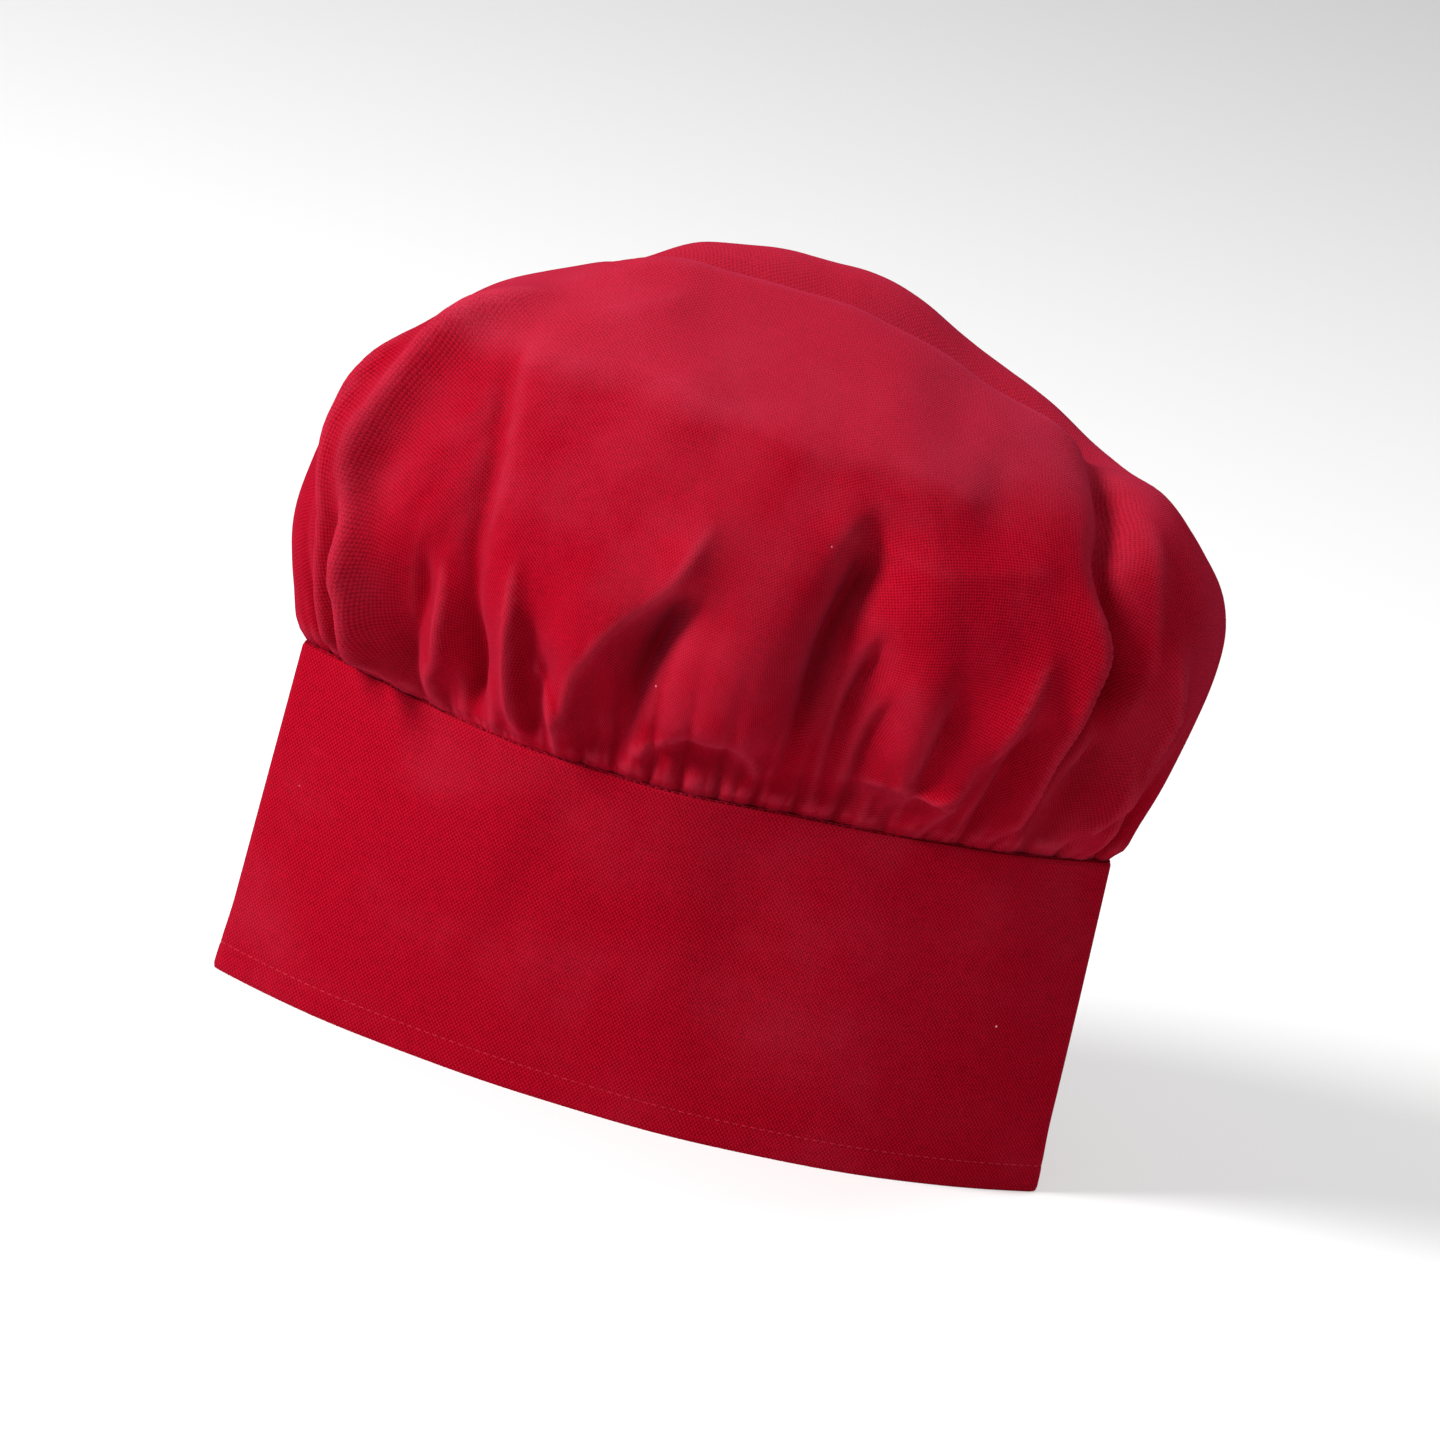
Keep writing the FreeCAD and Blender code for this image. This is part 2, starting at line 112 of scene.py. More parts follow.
class Wire:
    # One output socket, with arithmetic that adds Math nodes.
    def __init__(self, finish, socket):
        self.finish, self.socket = finish, socket

    def calc(self, operation, *values):
        return self.finish.node("ShaderNodeMath", {"operation": operation}, dict(enumerate(values)))

    def __add__(self, other):
        return self.calc("ADD", self, other)

    def __sub__(self, other):
        return self.calc("SUBTRACT", self, other)

    def __rsub__(self, other):
        return self.calc("SUBTRACT", other, self)

    def __mul__(self, other):
        return self.calc("MULTIPLY", self, other)

    def __pow__(self, other):
        return self.calc("POWER", self, other)

    __radd__, __rmul__ = __add__, __mul__

    def sine(self):
        return self.calc("SINE", self)

    def absolute(self):
        return self.calc("ABSOLUTE", self)

    def between(self, low, high):
        settings = {"interpolation_type": "SMOOTHSTEP"}
        inputs = {"Value": self, "From Min": low, "From Max": high}
        return self.finish.node("ShaderNodeMapRange", settings, inputs)

    def output(self, number):
        return Wire(self.finish, self.socket.node.outputs[number])


class Finish:
    # A material with one Principled shader; numbers go straight on its sockets.
    def __init__(self, name, **sockets):
        self.material = bpy.data.materials.new(name)
        self.material.use_nodes = True
        self.tree = self.material.node_tree
        self.shader = self.tree.nodes["Principled BSDF"]
        self.paint(**sockets)

    def feed(self, socket, value):
        if isinstance(value, Wire):
            self.tree.links.new(value.socket, socket)
        else:
            socket.default_value = value

    def node(self, kind, settings=None, inputs=None, output=0):
        made = self.tree.nodes.new(kind)
        for key, value in (settings or {}).items():
            setattr(made, key, value)
        for key, value in (inputs or {}).items():
            self.feed(made.inputs[key], value)
        return Wire(self, made.outputs[output])

    def mix(self, factor, first, second):
        inputs = {0: factor, 6: first, 7: second}
        return self.node("ShaderNodeMix", {"data_type": "RGBA"}, inputs, 2)

    def noise(self, vector, scale, detail=2.0, rough=0.5):
        inputs = {"Vector": vector, "Scale": scale, "Detail": detail, "Roughness": rough}
        return self.node("ShaderNodeTexNoise", None, inputs)

    def stretch(self, vector, scale=(1, 1, 1), turn=0.0):
        inputs = {"Vector": vector, "Scale": scale, "Rotation": (0, 0, math.radians(turn))}
        return self.node("ShaderNodeMapping", None, inputs)

    def flat(self, turn=0.0):
        # The cloth's own flat coordinates in metres, turned by an angle in degrees.
        return self.stretch(self.node("ShaderNodeUVMap", {"uv_map": "flat"}), turn=turn)

    def place(self):
        return self.node("ShaderNodeTexCoord", None, None, 3)

    def split(self, vector):
        parts = self.node("ShaderNodeSeparateXYZ", None, {0: vector})
        return parts, parts.output(1)

    def bump(self, height, distance, strength):
        inputs = {"Height": height, "Distance": distance, "Strength": strength}
        return self.node("ShaderNodeBump", None, inputs)

    def paint(self, **sockets):
        for key, value in sockets.items():
            self.feed(self.shader.inputs[key.replace("_", " ")], value)
        return self.material


cotton = {
    "warpPitch": 0.68 * mm,
    "weftPitch": 0.83 * mm,
    "yarnRelief": 0.14 * mm,
    "deep": (0.185, 0.0002, 0.0035),
    "main": (0.440, 0.0008, 0.0130),
    "nap": (0.480, 0.0320, 0.0680),
    "lint": (0.80, 0.50, 0.50, 1),
    "sheenTint": (1.0, 0.12, 0.30, 1),
}


def shaded(colour, tone, lift=0.0):
    return tuple(min(1.0, c * tone + lift) for c in colour) + (1,)


def cottonFinish(name, turn=0.0, tone=1.0, napAmount=1.0, sheen=0.12, paintedSheenAbove=None):
    finish = Finish(name, Sheen_Weight=sheen, Sheen_Roughness=0.5, Sheen_Tint=cotton["sheenTint"],
                    Specular_IOR_Level=0.0)
    flat = finish.flat(turn)
    wander = finish.noise(flat, 160.0) - 0.5
    x, y = finish.split(flat)
    across = (x + wander * (0.9 * mm)) * (math.pi / cotton["warpPitch"])
    along = (y + wander * (0.7 * mm)) * (math.pi / cotton["weftPitch"])
    over = across.sine() * along.sine()
    yarns = over.absolute() ** 0.55
    checker = (over * 3.0).between(-1.0, 1.0)
    # Thick and thin yarns: noise drawn out along the warp, then along the weft.
    slubs = finish.noise(finish.stretch(flat, (1500, 140, 1)), 1.0, 1.0)
    slubs = slubs * 0.5 + finish.noise(finish.stretch(flat, (140, 1200, 1)), 1.0, 1.0) * 0.5
    fuzz = finish.noise(flat, 2600.0, 2.0, 0.7)
    wearAndSheen = finish.noise(flat, 9.0, 3.0, 0.55) * 0.65 + finish.noise(flat, 34.0, 4.0, 0.6) * 0.35
    wearAndSheen = wearAndSheen.between(0.44, 0.66) * napAmount
    if paintedSheenAbove:
        # Painted sheen: above this height the top is painted lighter, towards the nap's colour, where light
        # from above falls on it. The crests of the folds are painted lighter too, a painted highlight that
        # also stands for wear.
        place = finish.place()
        drift = (finish.noise(place, 22.0, 3.0) - 0.5) * 0.03
        height = finish.node("ShaderNodeSeparateXYZ", None, {0: place}, 2) + drift
        crest = finish.node("ShaderNodeAttribute", {"attribute_name": "crest"}, None, 2)
        wearAndSheen = wearAndSheen * 0.5 + height.between(paintedSheenAbove, paintedSheenAbove + 0.014) * 0.8 + crest * 0.6
    shade = (yarns * 0.2 + checker * 0.5 + slubs * 0.9 + fuzz * 0.8 - 0.65).between(0.0, 1.0)
    nap = shaded(cotton["nap"], tone)
    colour = finish.mix(shade, shaded(cotton["deep"], tone), shaded(cotton["main"], tone))
    colour = finish.mix(checker * 0.10, colour, nap)
    # Lighter towards the nap's colour: random wear, and on the crown also the painted sheen on the top and
    # the painted highlight on the crests.
    colour = finish.mix(wearAndSheen * (fuzz.between(0.35, 0.75) * 0.5 + 0.22), colour, nap)
    specks = finish.node("ShaderNodeTexVoronoi", {"feature": "F1"}, {"Vector": flat, "Scale": 75.0})
    chosen = finish.noise(flat, 60.0, 0.0).between(0.63, 0.66)
    speck = (1 - specks.between(0.018, 0.034)) * chosen
    colour = finish.mix(speck * 0.75, colour, cotton["lint"])
    height = yarns * 0.8 + slubs * 0.5 + fuzz * 0.35
    relief = finish.bump(height, cotton["yarnRelief"], 0.85)
    return finish.paint(Base_Color=colour, Normal=relief, Roughness=0.9 - slubs * 0.16)


def threadFinish(name, colour):
    finish = Finish(name, Roughness=0.6, Specular_IOR_Level=0.1)
    twist = finish.noise(finish.place(), 2400.0)
    tint = finish.mix(twist.between(0.3, 0.7), shaded(colour, 0.7), shaded(colour, 1.35, 0.01))
    return finish.paint(Base_Color=tint, Normal=finish.bump(twist, 0.08 * mm, 0.6))


def feltFinish(name, colour):
    # Fusible interfacing: short white fibres bonded at random.
    finish = Finish(name, Roughness=0.9)
    fibres = finish.noise(finish.place(), 900.0, 4.0, 0.7)
    tint = finish.mix(fibres.between(0.3, 0.7), shaded(colour, 0.82), shaded(colour, 1.1))
    return finish.paint(Base_Color=tint, Normal=finish.bump(fibres, 0.12 * mm, 0.7))


def tapeFinish(name, colour, scale, relief):
    # Hook or loop tape: a pile of small bumps, painted lighter on their tops and darker between them, a
    # painted highlight and painted shade.
    finish = Finish(name, Roughness=0.75, Specular_IOR_Level=0.2)
    inputs = {"Vector": finish.place(), "Scale": scale}
    pile = finish.node("ShaderNodeTexVoronoi", {"feature": "F1"}, inputs)
    # Painted shade between the bumps and painted highlight on their tops.
    tint = finish.mix(pile.between(0.15, 0.6), shaded(colour, 1.1), shaded(colour, 0.6))
    return finish.paint(Base_Color=tint, Normal=finish.bump(1 - pile, relief, 0.9))


def ribbonFinish(name):
    finish = Finish(name, Roughness=0.42, Sheen_Weight=0.3)
    flat = finish.flat()
    x, y = finish.split(flat)
    weave = (x * (math.pi / (0.28 * mm))).sine().absolute() * 0.6
    weave = weave + (y * (math.pi / (0.45 * mm))).sine().absolute() * 0.4
    soil = finish.noise(flat, 60.0, 3.0).between(0.35, 0.8)
    colour = finish.mix(soil, (0.86, 0.85, 0.82, 1), (0.74, 0.71, 0.67, 1))
    return finish.paint(Base_Color=colour, Normal=finish.bump(weave, 0.06 * mm, 0.6))


def makeFinishes():
    print("finishes")
    return {
        "crown": cottonFinish("crownCotton", turn=15, tone=0.74, sheen=0.10, paintedSheenAbove=0.230),
        "band": cottonFinish("bandCotton", tone=0.74, napAmount=0.4, sheen=0.07),
        "lining": cottonFinish("liningCotton", tone=0.72, napAmount=0.4, sheen=0.08),
        "thread": threadFinish("sewingThread", (0.33, 0.004, 0.018)),
        "gather": threadFinish("gatheringThread", (0.36, 0.008, 0.022)),
        "overlock": threadFinish("overlockThread", (0.42, 0.02, 0.045)),
        "felt": feltFinish("interfacingFelt", (0.75, 0.74, 0.72)),
        "hooks": tapeFinish("hookTape", (0.32, 0.008, 0.02), 1500.0, 0.25 * mm),
        "loops": tapeFinish("loopTape", (0.34, 0.01, 0.025), 900.0, 0.4 * mm),
        "ribbon": ribbonFinish("labelRibbon"),
    }


finishes = makeFinishes()

band = {
    "halfWidth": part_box("band_outer_panel")[1].x,
    "halfDepth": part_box("band_outer_panel")[1].y,
    "height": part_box("band_outer_panel")[1].z,
    "crease": 5.0 * mm,
    "bulgeAt": -46 * mm,          # the top of the front stands out here
    "bulgeWide": 62 * mm,
    "bulgeOut": 13 * mm,
    "taperLeft": 1.2 * mm,        # the top is this much narrower
    "taperRight": 5.2 * mm,
    "hemFlare": 1.0 * mm,
    "slit": (26 * mm, 32 * mm),   # between the two ends, at the back
    "waves": [(0.9, 19, 0.8, 0.9), (0.7, 9.5, 0.0, 2.0)],     # height, width, start, lean
    "dents": [(1.7, -62, 26, 9), (1.3, 30, -14, 11)],        # depth, place at the hem, lean, width
    "cloth": 0.6 * mm,
    "coreCloth": 0.4 * mm,
    "coreInset": 1.5 * mm,        # the interfacing ends this far from the hem and the top
    "liningShort": 0.5 * mm,
    "turnIn": 0.3 * mm,           # how far the cloth turns in, and at the top
    "lip": 0.4 * mm,
    "outerGap": 0.3 * mm,         # middles of the layers, counted inwards from the outer face
    "coreGap": 0.9 * mm,
    "liningGap": 1.5 * mm,
    "turned": 1.4 * mm,           # the cloth turns in this close to an edge
    "hemStitch": 9.2 * mm,
    "columns": 300,
    "rows": 56,
}


def outlineRadius():
    side, depth, crease = band["halfWidth"] - band["crease"], band["halfDepth"], band["crease"]
    return (side**2 + depth**2 - crease**2) / (2 * (depth - crease))


wideRadius = outlineRadius()
wideCentre = band["halfDepth"] - wideRadius    # y of the back arc's centre; the front arc mirrors it
creaseTurn = math.acos((wideRadius - band["halfDepth"]) / (wideRadius - band["crease"]))
wideLength = 2 * wideRadius * creaseTurn
creaseLength = 2 * band["crease"] * (math.pi / 2 - creaseTurn)
outlineLength = 2 * wideLength + 2 * creaseLength


def outline(part, gap=0.0):
    # A point of the outline at a share of the way round, from the left crease by the front, and
    # the way out of it. Gap is the distance inwards.
    s = (part % 1.0) * outlineLength
    half = creaseLength / 2
    if s < half or s > outlineLength - half:
        turn = math.pi + (s if s < half else s - outlineLength) / band["crease"]
        centre, radius = Vector((-(band["halfWidth"] - band["crease"]), 0)), band["crease"]
    elif s < half + wideLength:
        turn = -math.pi / 2 - creaseTurn + (s - half) / wideRadius
        centre, radius = Vector((0, -wideCentre)), wideRadius
    elif s < half + wideLength + creaseLength:
        turn = (s - creaseLength - wideLength) / band["crease"]
        centre, radius = Vector((band["halfWidth"] - band["crease"], 0)), band["crease"]
    else:
        turn = math.pi / 2 - creaseTurn + (s - wideLength - 3 * half) / wideRadius
        centre, radius = Vector((0, wideCentre)), wideRadius
    out = Vector((math.cos(turn), math.sin(turn)))
    return centre + out * (radius - gap), out


def partOfBack(x):
    # The share of the way round at which the back has this x.
    turn = math.acos(x / wideRadius) - (math.pi / 2 - creaseTurn)
    return (1.5 * creaseLength + wideLength + wideRadius * turn) / outlineLength


def bandPoint(part, z, gap=0.0):
    # The band's shape: the outline with its softer front, which bulges and waves a little.
    (x, y), _ = outline(part, gap)
    rise = min(max(z / band["height"], 0.0), 1.1)
    front = smoothStep(0.0, 12 * mm, -y)
    bulge = band["bulgeOut"] * math.exp(-(((x - band["bulgeAt"]) / band["bulgeWide"]) ** 2))
    fade = smoothStep(0.0, 1.0, (band["halfWidth"] - abs(x)) / (60 * mm))
    waves = sum(size * math.sin(x / (width * mm) + start + lean * rise)
                for size, width, start, lean in band["waves"])
    for depth, at, lean, width in band["dents"]:
        away = (x / mm - at - lean * rise) / width
        waves -= depth * math.exp(-away * away) * math.sin(math.pi * min(rise, 1.0))
    hemWave = 1.1 * math.sin(x / (47 * mm) - 0.6) * (1 - rise)
    y -= front * fade * (bulge * rise**1.6 + (waves * (0.3 + rise * 0.7) + hemWave) * mm)
    side = smoothStep(0.3, 1.0, abs(x) / band["halfWidth"])
    flare = band["hemFlare"] * (1 - smoothStep(0.0, 0.22, rise)) - 0.5 * mm
    x += side * (band["taperLeft"] * rise - flare if x < 0 else flare - band["taperRight"] * rise**1.2)
    return Vector((x, y, z))


def backPoint(x, z, lift):
    # A point outside the back of the band, lift away from its face.
    reach = wideRadius + lift
    return Vector((x, math.sqrt(reach * reach - x * x) + wideCentre, z))


def edgeDense(share):
    # Moves rows of a grid towards its edges.
    return share - 0.8 * math.sin(2 * math.pi * share) / (2 * math.pi)


def flatLayer(bm, coordinates):
    # Writes the cloth's flat coordinates, in metres, as the UV map that the weave follows.
    layer = bm.loops.layers.uv.new("flat")
    for face in bm.faces:
        for loop in face.loops:
            loop[layer].uv = coordinates(loop.vert)


def curvedStrip(name, material, place, size, columns, rows, thickness, dense=(True, True)):
    # A flat grid that a function bends into place, with its flat coordinates and a thickness.
    bm = bmesh.new()
    bmesh.ops.create_grid(bm, x_segments=columns, y_segments=rows, size=0.5)
    shares = {}
    for vert in bm.verts:
        across, up = vert.co.x + 0.5, vert.co.y + 0.5
        shares[vert] = (edgeDense(across) if dense[0] else across, edgeDense(up) if dense[1] else up)
    flatLayer(bm, lambda vert: (shares[vert][0] * size[0], shares[vert][1] * size[1]))
    for vert, (across, up) in shares.items():
        vert.co = place(across, up)
    piece = addMesh(name, bm, material)
    addModifier(piece, "SOLIDIFY", thickness=thickness, offset=0.0)
    applyModifiers(piece)
    return piece


def settle(piece, body, slot, *nodes):
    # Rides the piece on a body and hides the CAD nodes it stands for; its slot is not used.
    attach(piece, body)
    if nodes:
        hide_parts(*nodes)


def bandStrip(name, finish, gap, low, high, turnIn=0.0, topIn=0.0):
    # One layer of the band: it turns towards its neighbour at the hem and at both ends.
    start, end = partOfBack(band["slit"][0]), 1.0 + partOfBack(band["slit"][1])
    length = (end - start) * outlineLength

    def place(across, up):
        z = low + (high - low) * up
        edge = min(across, 1 - across) * length
        near = 1 - smoothStep(0.0, band["turned"], min(edge, z))
        lip = smoothStep(high - band["turned"], high, z)
        groove = 0.22 * mm * math.exp(-(((z - band["hemStitch"]) / (0.9 * mm)) ** 2))
        side = 1 if gap < band["coreGap"] else -1 if gap > band["coreGap"] else 0
        shift = turnIn * near + topIn * lip + groove * side
        return bandPoint(start + (end - start) * across, z, gap + shift)

    size = (length, high - low)
    thickness = band["cloth"] if turnIn else band["coreCloth"]
    piece = curvedStrip(name, finishes[finish], place, size, band["columns"], band["rows"], thickness,
                        dense=(False, True))
    return piece


def makeBand():
    print("band")
    top, turnIn, inset = band["height"], band["turnIn"], band["coreInset"]
    outer = bandStrip("band_outer", "band", band["outerGap"], 0.0, top, turnIn, band["lip"])
    settle(outer, "root", "band_cotton", "band_outer_panel")
    core = bandStrip("band_core", "felt", band["coreGap"], inset, top - inset)
    settle(core, "root", "interfacing", "band_interfacing")
    lining = bandStrip("band_lining", "lining", band["liningGap"], 0.0, top - band["liningShort"], -turnIn)
    settle(lining, "root", "band_cotton", "band_inner_panel")


makeBand()

crown = {
    "flatRadius": 232 * mm,       # cut as a round of this radius, seam allowance apart
    "segments": 200,
    "simSegments": 96,
    "thickness": 0.45 * mm,
    "seamGap": 1.25 * mm,         # the cloth leaves the band this far behind its face
    "seamUp": 115.5,
    "seamDip": 6 * mm,            # no fold is deeper than this at the seam
    "foldGain": 1.3,
    "uneven": 2.2 * mm,           # slow hills and hollows, and how wide they are
    "unevenWide": 26 * mm,
    "softened": 2,
    "foldSteps": 40,              # a fold's line is cut into these, and evened this many times
    "foldEvening": 6,
    "backPart": (0.515, 0.985),   # of the way round: where the folds of the back lie
    "backFolds": 17,
    "oval": (150, 75),            # half width and half depth, seen from above
    # Gathers at the seam: width, how far they stand out and how far up they fade.
    "gathers": [{"wide": (3.5, 7), "out": 3.6, "high": (0.03, 0.06)},
                {"wide": (9, 17), "out": 9.5, "high": (0.09, 0.18)}],
    "seed": 11,
    # Outlines of the puff, seam to top, in millimetres: distance out, height.
    "front": [(48, 115.5), (49, 119), (51.5, 125), (56, 134), (62, 146), (67.5, 161), (71, 178), (71, 196),
              (66, 214), (56, 233), (43, 249), (29, 261), (13, 268), (0, 268)],
    "back": [(48, 115.5), (50, 119), (56, 125), (64, 137), (71, 155), (75, 178), (73, 201), (68, 223),
             (60, 243), (48, 258), (34, 268), (18, 270), (0, 268)],
    "left": [(138, 115.5), (141, 119), (145, 128), (149, 141), (151, 155), (150, 170), (147, 188),
             (141, 204), (130, 222), (112, 241), (86, 258), (50, 270), (0, 268)],
    "right": [(134.5, 115.5), (137, 121), (141, 134), (144, 148), (147, 166), (148, 186), (147, 202),
              (141, 217), (127, 231), (104, 242), (70, 252), (32, 262), (0, 268)],
}

# Folds of the front: a line of (across, up) in millimetres from top to seam, how far it stands
# out (or in), and how far it spreads to its left and right.
frontFolds = [
    ([(-138, 196), (-137, 176), (-133, 150), (-130, 120)], -9, (7, 6)),
    ([(-124, 226), (-131, 204), (-133, 180), (-130, 158), (-124, 138), (-118, 120)], 11, (8, 4)),
    ([(-127, 178), (-121, 160), (-114, 144), (-108, 118)], 10, (7, 4)),
    ([(-128, 184), (-126, 166), (-120, 146), (-114, 122)], -8, (4, 4)),
    ([(-89, 249), (-103, 239), (-114, 228), (-123, 209), (-129, 186), (-123, 170), (-113, 144),
      (-104, 120)], 12, (9, 5)),
    ([(-100, 166), (-96, 152), (-93, 140), (-90, 120)], 7.2, (7.2, 2.7)),
    ([(-91, 240), (-92, 206), (-92, 186), (-90, 166), (-85, 146), (-77, 118)], -6, (5, 3.5)),
    ([(-75, 176), (-73, 162), (-69, 146), (-62, 118)], 8.7, (5.4, 2.7)),
    ([(-63, 143), (-55, 138), (-50, 128), (-49, 117)], 5.8, (4.5, 2.7)),
    ([(-56, 150), (-58, 134), (-57, 118)], -8.7, (4.5, 4.5)),
    ([(-18, 206), (-27, 183), (-38, 168), (-47, 149), (-48, 130)], 5.8, (10.8, 4.5)),
    ([(-20, 184), (-27, 162), (-30, 142), (-27, 117)], -18, (7, 3.5)),
    ([(31, 218), (28, 196), (25, 172), (25, 148), (22, 117)], -20, (4, 9)),
    ([(43, 184), (40, 160), (38, 134), (37, 117)], -12, (3.5, 5)),
    ([(93, 190), (87, 163), (82, 143), (73, 117)], 7.2, (8.1, 2.7)),
    ([(79, 143), (72, 138), (64, 133)], 5.8, (3.6, 2.7)),
    ([(91, 259), (99, 241), (103, 216), (112, 201), (119, 196), (116, 172), (109, 148),
      (103, 117)], -11, (4.5, 7)),
    ([(101, 220), (107, 204), (112, 190), (108, 176), (105, 160), (101, 143), (96, 117)], 8.7, (9, 2.7)),
    ([(110, 236), (120, 222), (126, 204), (128, 188), (124, 168), (116, 150)], 2.5, (9, 5)),
    ([(129, 162), (126, 148), (118, 117)], 7.2, (4.5, 2.7)),
    ([(135, 196), (135, 170), (129, 153), (125, 117)], 7.2, (4.5, 2.7)),
    ([(-3, 128), (-4, 117)], -7.2, (7.2, 7.2)),
    ([(12, 138), (11, 117)], -7.2, (4.5, 4.5)),
    ([(56, 142), (55, 117)], -7.2, (5.4, 5.4)),
    ([(-119, 158), (-114, 138), (-111, 117)], -9, (3, 6)),
    ([(-106, 168), (-103, 146), (-99, 117)], -10, (3, 7)),
    ([(-84, 152), (-81, 136), (-79, 117)], -8, (3, 5)),
    ([(-66, 160), (-65, 140), (-61, 117)], -8, (3, 6)),
    ([(-42, 150), (-41, 134), (-38, 117)], -9, (3, 5)),
    ([(50, 164), (48, 142), (46, 117)], -8, (3, 6)),
    ([(70, 176), (68, 150), (64, 117)], -7, (3, 6)),
    ([(84, 158), (80, 138), (76, 117)], -9, (3, 5)),
    ([(97, 170), (92, 146), (86, 117)], -9, (3, 6)),
    ([(121, 168), (117, 144), (110, 117)], -9, (3, 6)),
]

# Swellings and hollows of the front: across, up, half width, half height and how far out.
frontSwells = [(-50, 158, 13, 20, 4), (0, 160, 17, 20, 5), (-3, 132, 17, 6, -8), (62, 158, 17, 24, 5),
               (10, 205, 60, 22, 2), (-112, 180, 8, 28, 3), (118, 182, 7, 9, -9), (140, 200, 10, 25, 3),
               (112, 150, 9, 14, -3)]

# Creases of the front seen as lines across it: points (across, up), how far out, and the spread
# above and below the line.
crossFolds = [
    ([(-96, 243), (-84, 247), (-66, 254), (-54, 260), (-46, 264)], 2.2, (3, 10)),
    ([(-98, 232), (-72, 237), (-47, 241), (-5, 234), (32, 235), (60, 230)], 3.4, (16, 8)),
    ([(18, 214), (38, 212), (56, 209), (74, 213), (86, 215)], 2.6, (12, 9)),
    ([(-24, 126), (-12, 134), (-3, 135), (8, 134), (15, 127)], 6.0, (7, 2.5)),
    ([(46, 131), (56, 134), (68, 135), (78, 133)], 4.0, (6, 2.5)),
]

topShape = {
    # Across the top, front to back: a ridge, a dip behind it and the back of the puff.
    "ridge": (5.5 * mm, -6 * mm, 8 * mm),     # out, place, width
    "dip": (-12 * mm, 10 * mm, 11 * mm),
    "back": (8.0 * mm, 37 * mm, 15 * mm),
    "left": (-80 * mm, -45 * mm),             # fades in and out between these
    "right": (118 * mm, 146 * mm),
}


def smoothLine(points, steps=12):
    # Points along a smooth line through the given ones: share of the length, across, up.
    made, length, last = [], 0.0, None
    acrossLine = [(i, place[0]) for i, place in enumerate(points)]
    upLine = [(i, place[1]) for i, place in enumerate(points)]
    for k in range((len(points) - 1) * steps + 1):
        point = [curveThrough(acrossLine, k / steps), curveThrough(upLine, k / steps)]
        if last:
            length += math.dist(last, point)
        made.append((length, point[0] * mm, point[1] * mm))
        last = point
    return [(row[0] / length, row[1], row[2]) for row in made]


def readLine(line, t):
    i = min(max(bisect.bisect_right([row[0] for row in line], t) - 1, 0), len(line) - 2)
    t0, a0, b0 = line[i]
    t1, a1, b1 = line[i + 1]
    s = (t - t0) / (t1 - t0)
    return a0 + (a1 - a0) * s, b0 + (b1 - b0) * s


def ellipseTable(width, depth, steps=720):
    # Angles round an ellipse at equal shares of its length, from the left by the front.
    lengths, angles = [0.0], [math.pi]
    for k in range(1, steps + 1):
        angle = math.pi + 2 * math.pi * k / steps
        step = math.hypot(width * math.sin(angle), depth * math.cos(angle))
        lengths.append(lengths[-1] + step)
        angles.append(angle)
    return [length / lengths[-1] for length in lengths], angles


outlineRows = 160
outlineTable = {}
for side in ("front", "back", "left", "right"):
    sideLine = smoothLine(crown[side])
    outlineTable[side] = [readLine(sideLine, k / outlineRows) for k in range(outlineRows + 1)]
ellipseShares, ellipseAngles = ellipseTable(*crown["oval"])


def profileAt(side, t):
    place = min(max(t, 0.0), 1.0) * outlineRows
    i = min(int(place), outlineRows - 1)
    s = place - i
    (a0, b0), (a1, b1) = outlineTable[side][i], outlineTable[side][i + 1]
    return a0 + (a1 - a0) * s, b0 + (b1 - b0) * s


def ellipseAngle(part):
    part %= 1.0
    i = min(bisect.bisect_right(ellipseShares, part) - 1, len(ellipseAngles) - 2)
    s = (part - ellipseShares[i]) / (ellipseShares[i + 1] - ellipseShares[i])
    return ellipseAngles[i] + (ellipseAngles[i + 1] - ellipseAngles[i]) * s


def crownBase(part, t):
    # The smooth puff without its folds: t is 0 at the seam and 1 at the top.
    angle = ellipseAngle(part)
    seam, _ = outline(part)
    blend = smoothStep(0.0, 0.3, t)
    across = seam.x / band["halfWidth"] * (1 - blend) + math.cos(angle) * blend
    along = seam.y / band["halfDepth"] * (1 - blend) + math.sin(angle) * blend
    sideShare = across**2 / max(across**2 + along**2, 1e-9)
    wide, wideUp = profileAt("left" if across < 0 else "right", t)
    deep, deepUp = profileAt("front" if along < 0 else "back", t)
    place = Vector((wide * across, deep * along, wideUp * sideShare + deepUp * (1 - sideShare)))
    if t < 0.35:
        sideWide, sideUp = profileAt("left" if across < 0 else "right", 0.0)
        frontDeep, _ = profileAt("front" if along < 0 else "back", 0.0)
        foot = Vector((sideWide / band["halfWidth"] * seam.x, frontDeep / band["halfDepth"] * seam.y, sideUp))
        start = bandPoint(part, sideUp, crown["seamGap"])
        place += (start - foot) * (1 - smoothStep(0.0, 0.35, t))
    return place


def crownOut(part, t):
    # The way out of the smooth puff at a point.
    t = min(max(t, 0.01), 0.985)
    along = crownBase(part + 0.002, t) - crownBase(part - 0.002, t)
    up = crownBase(part, t + 0.01) - crownBase(part, t - 0.01)
    return along.cross(up).normalized()


def cusp(away):
    # Falls off on both sides of a crease.
    return 1.105 * math.exp(-math.sqrt(away * away + 0.01))


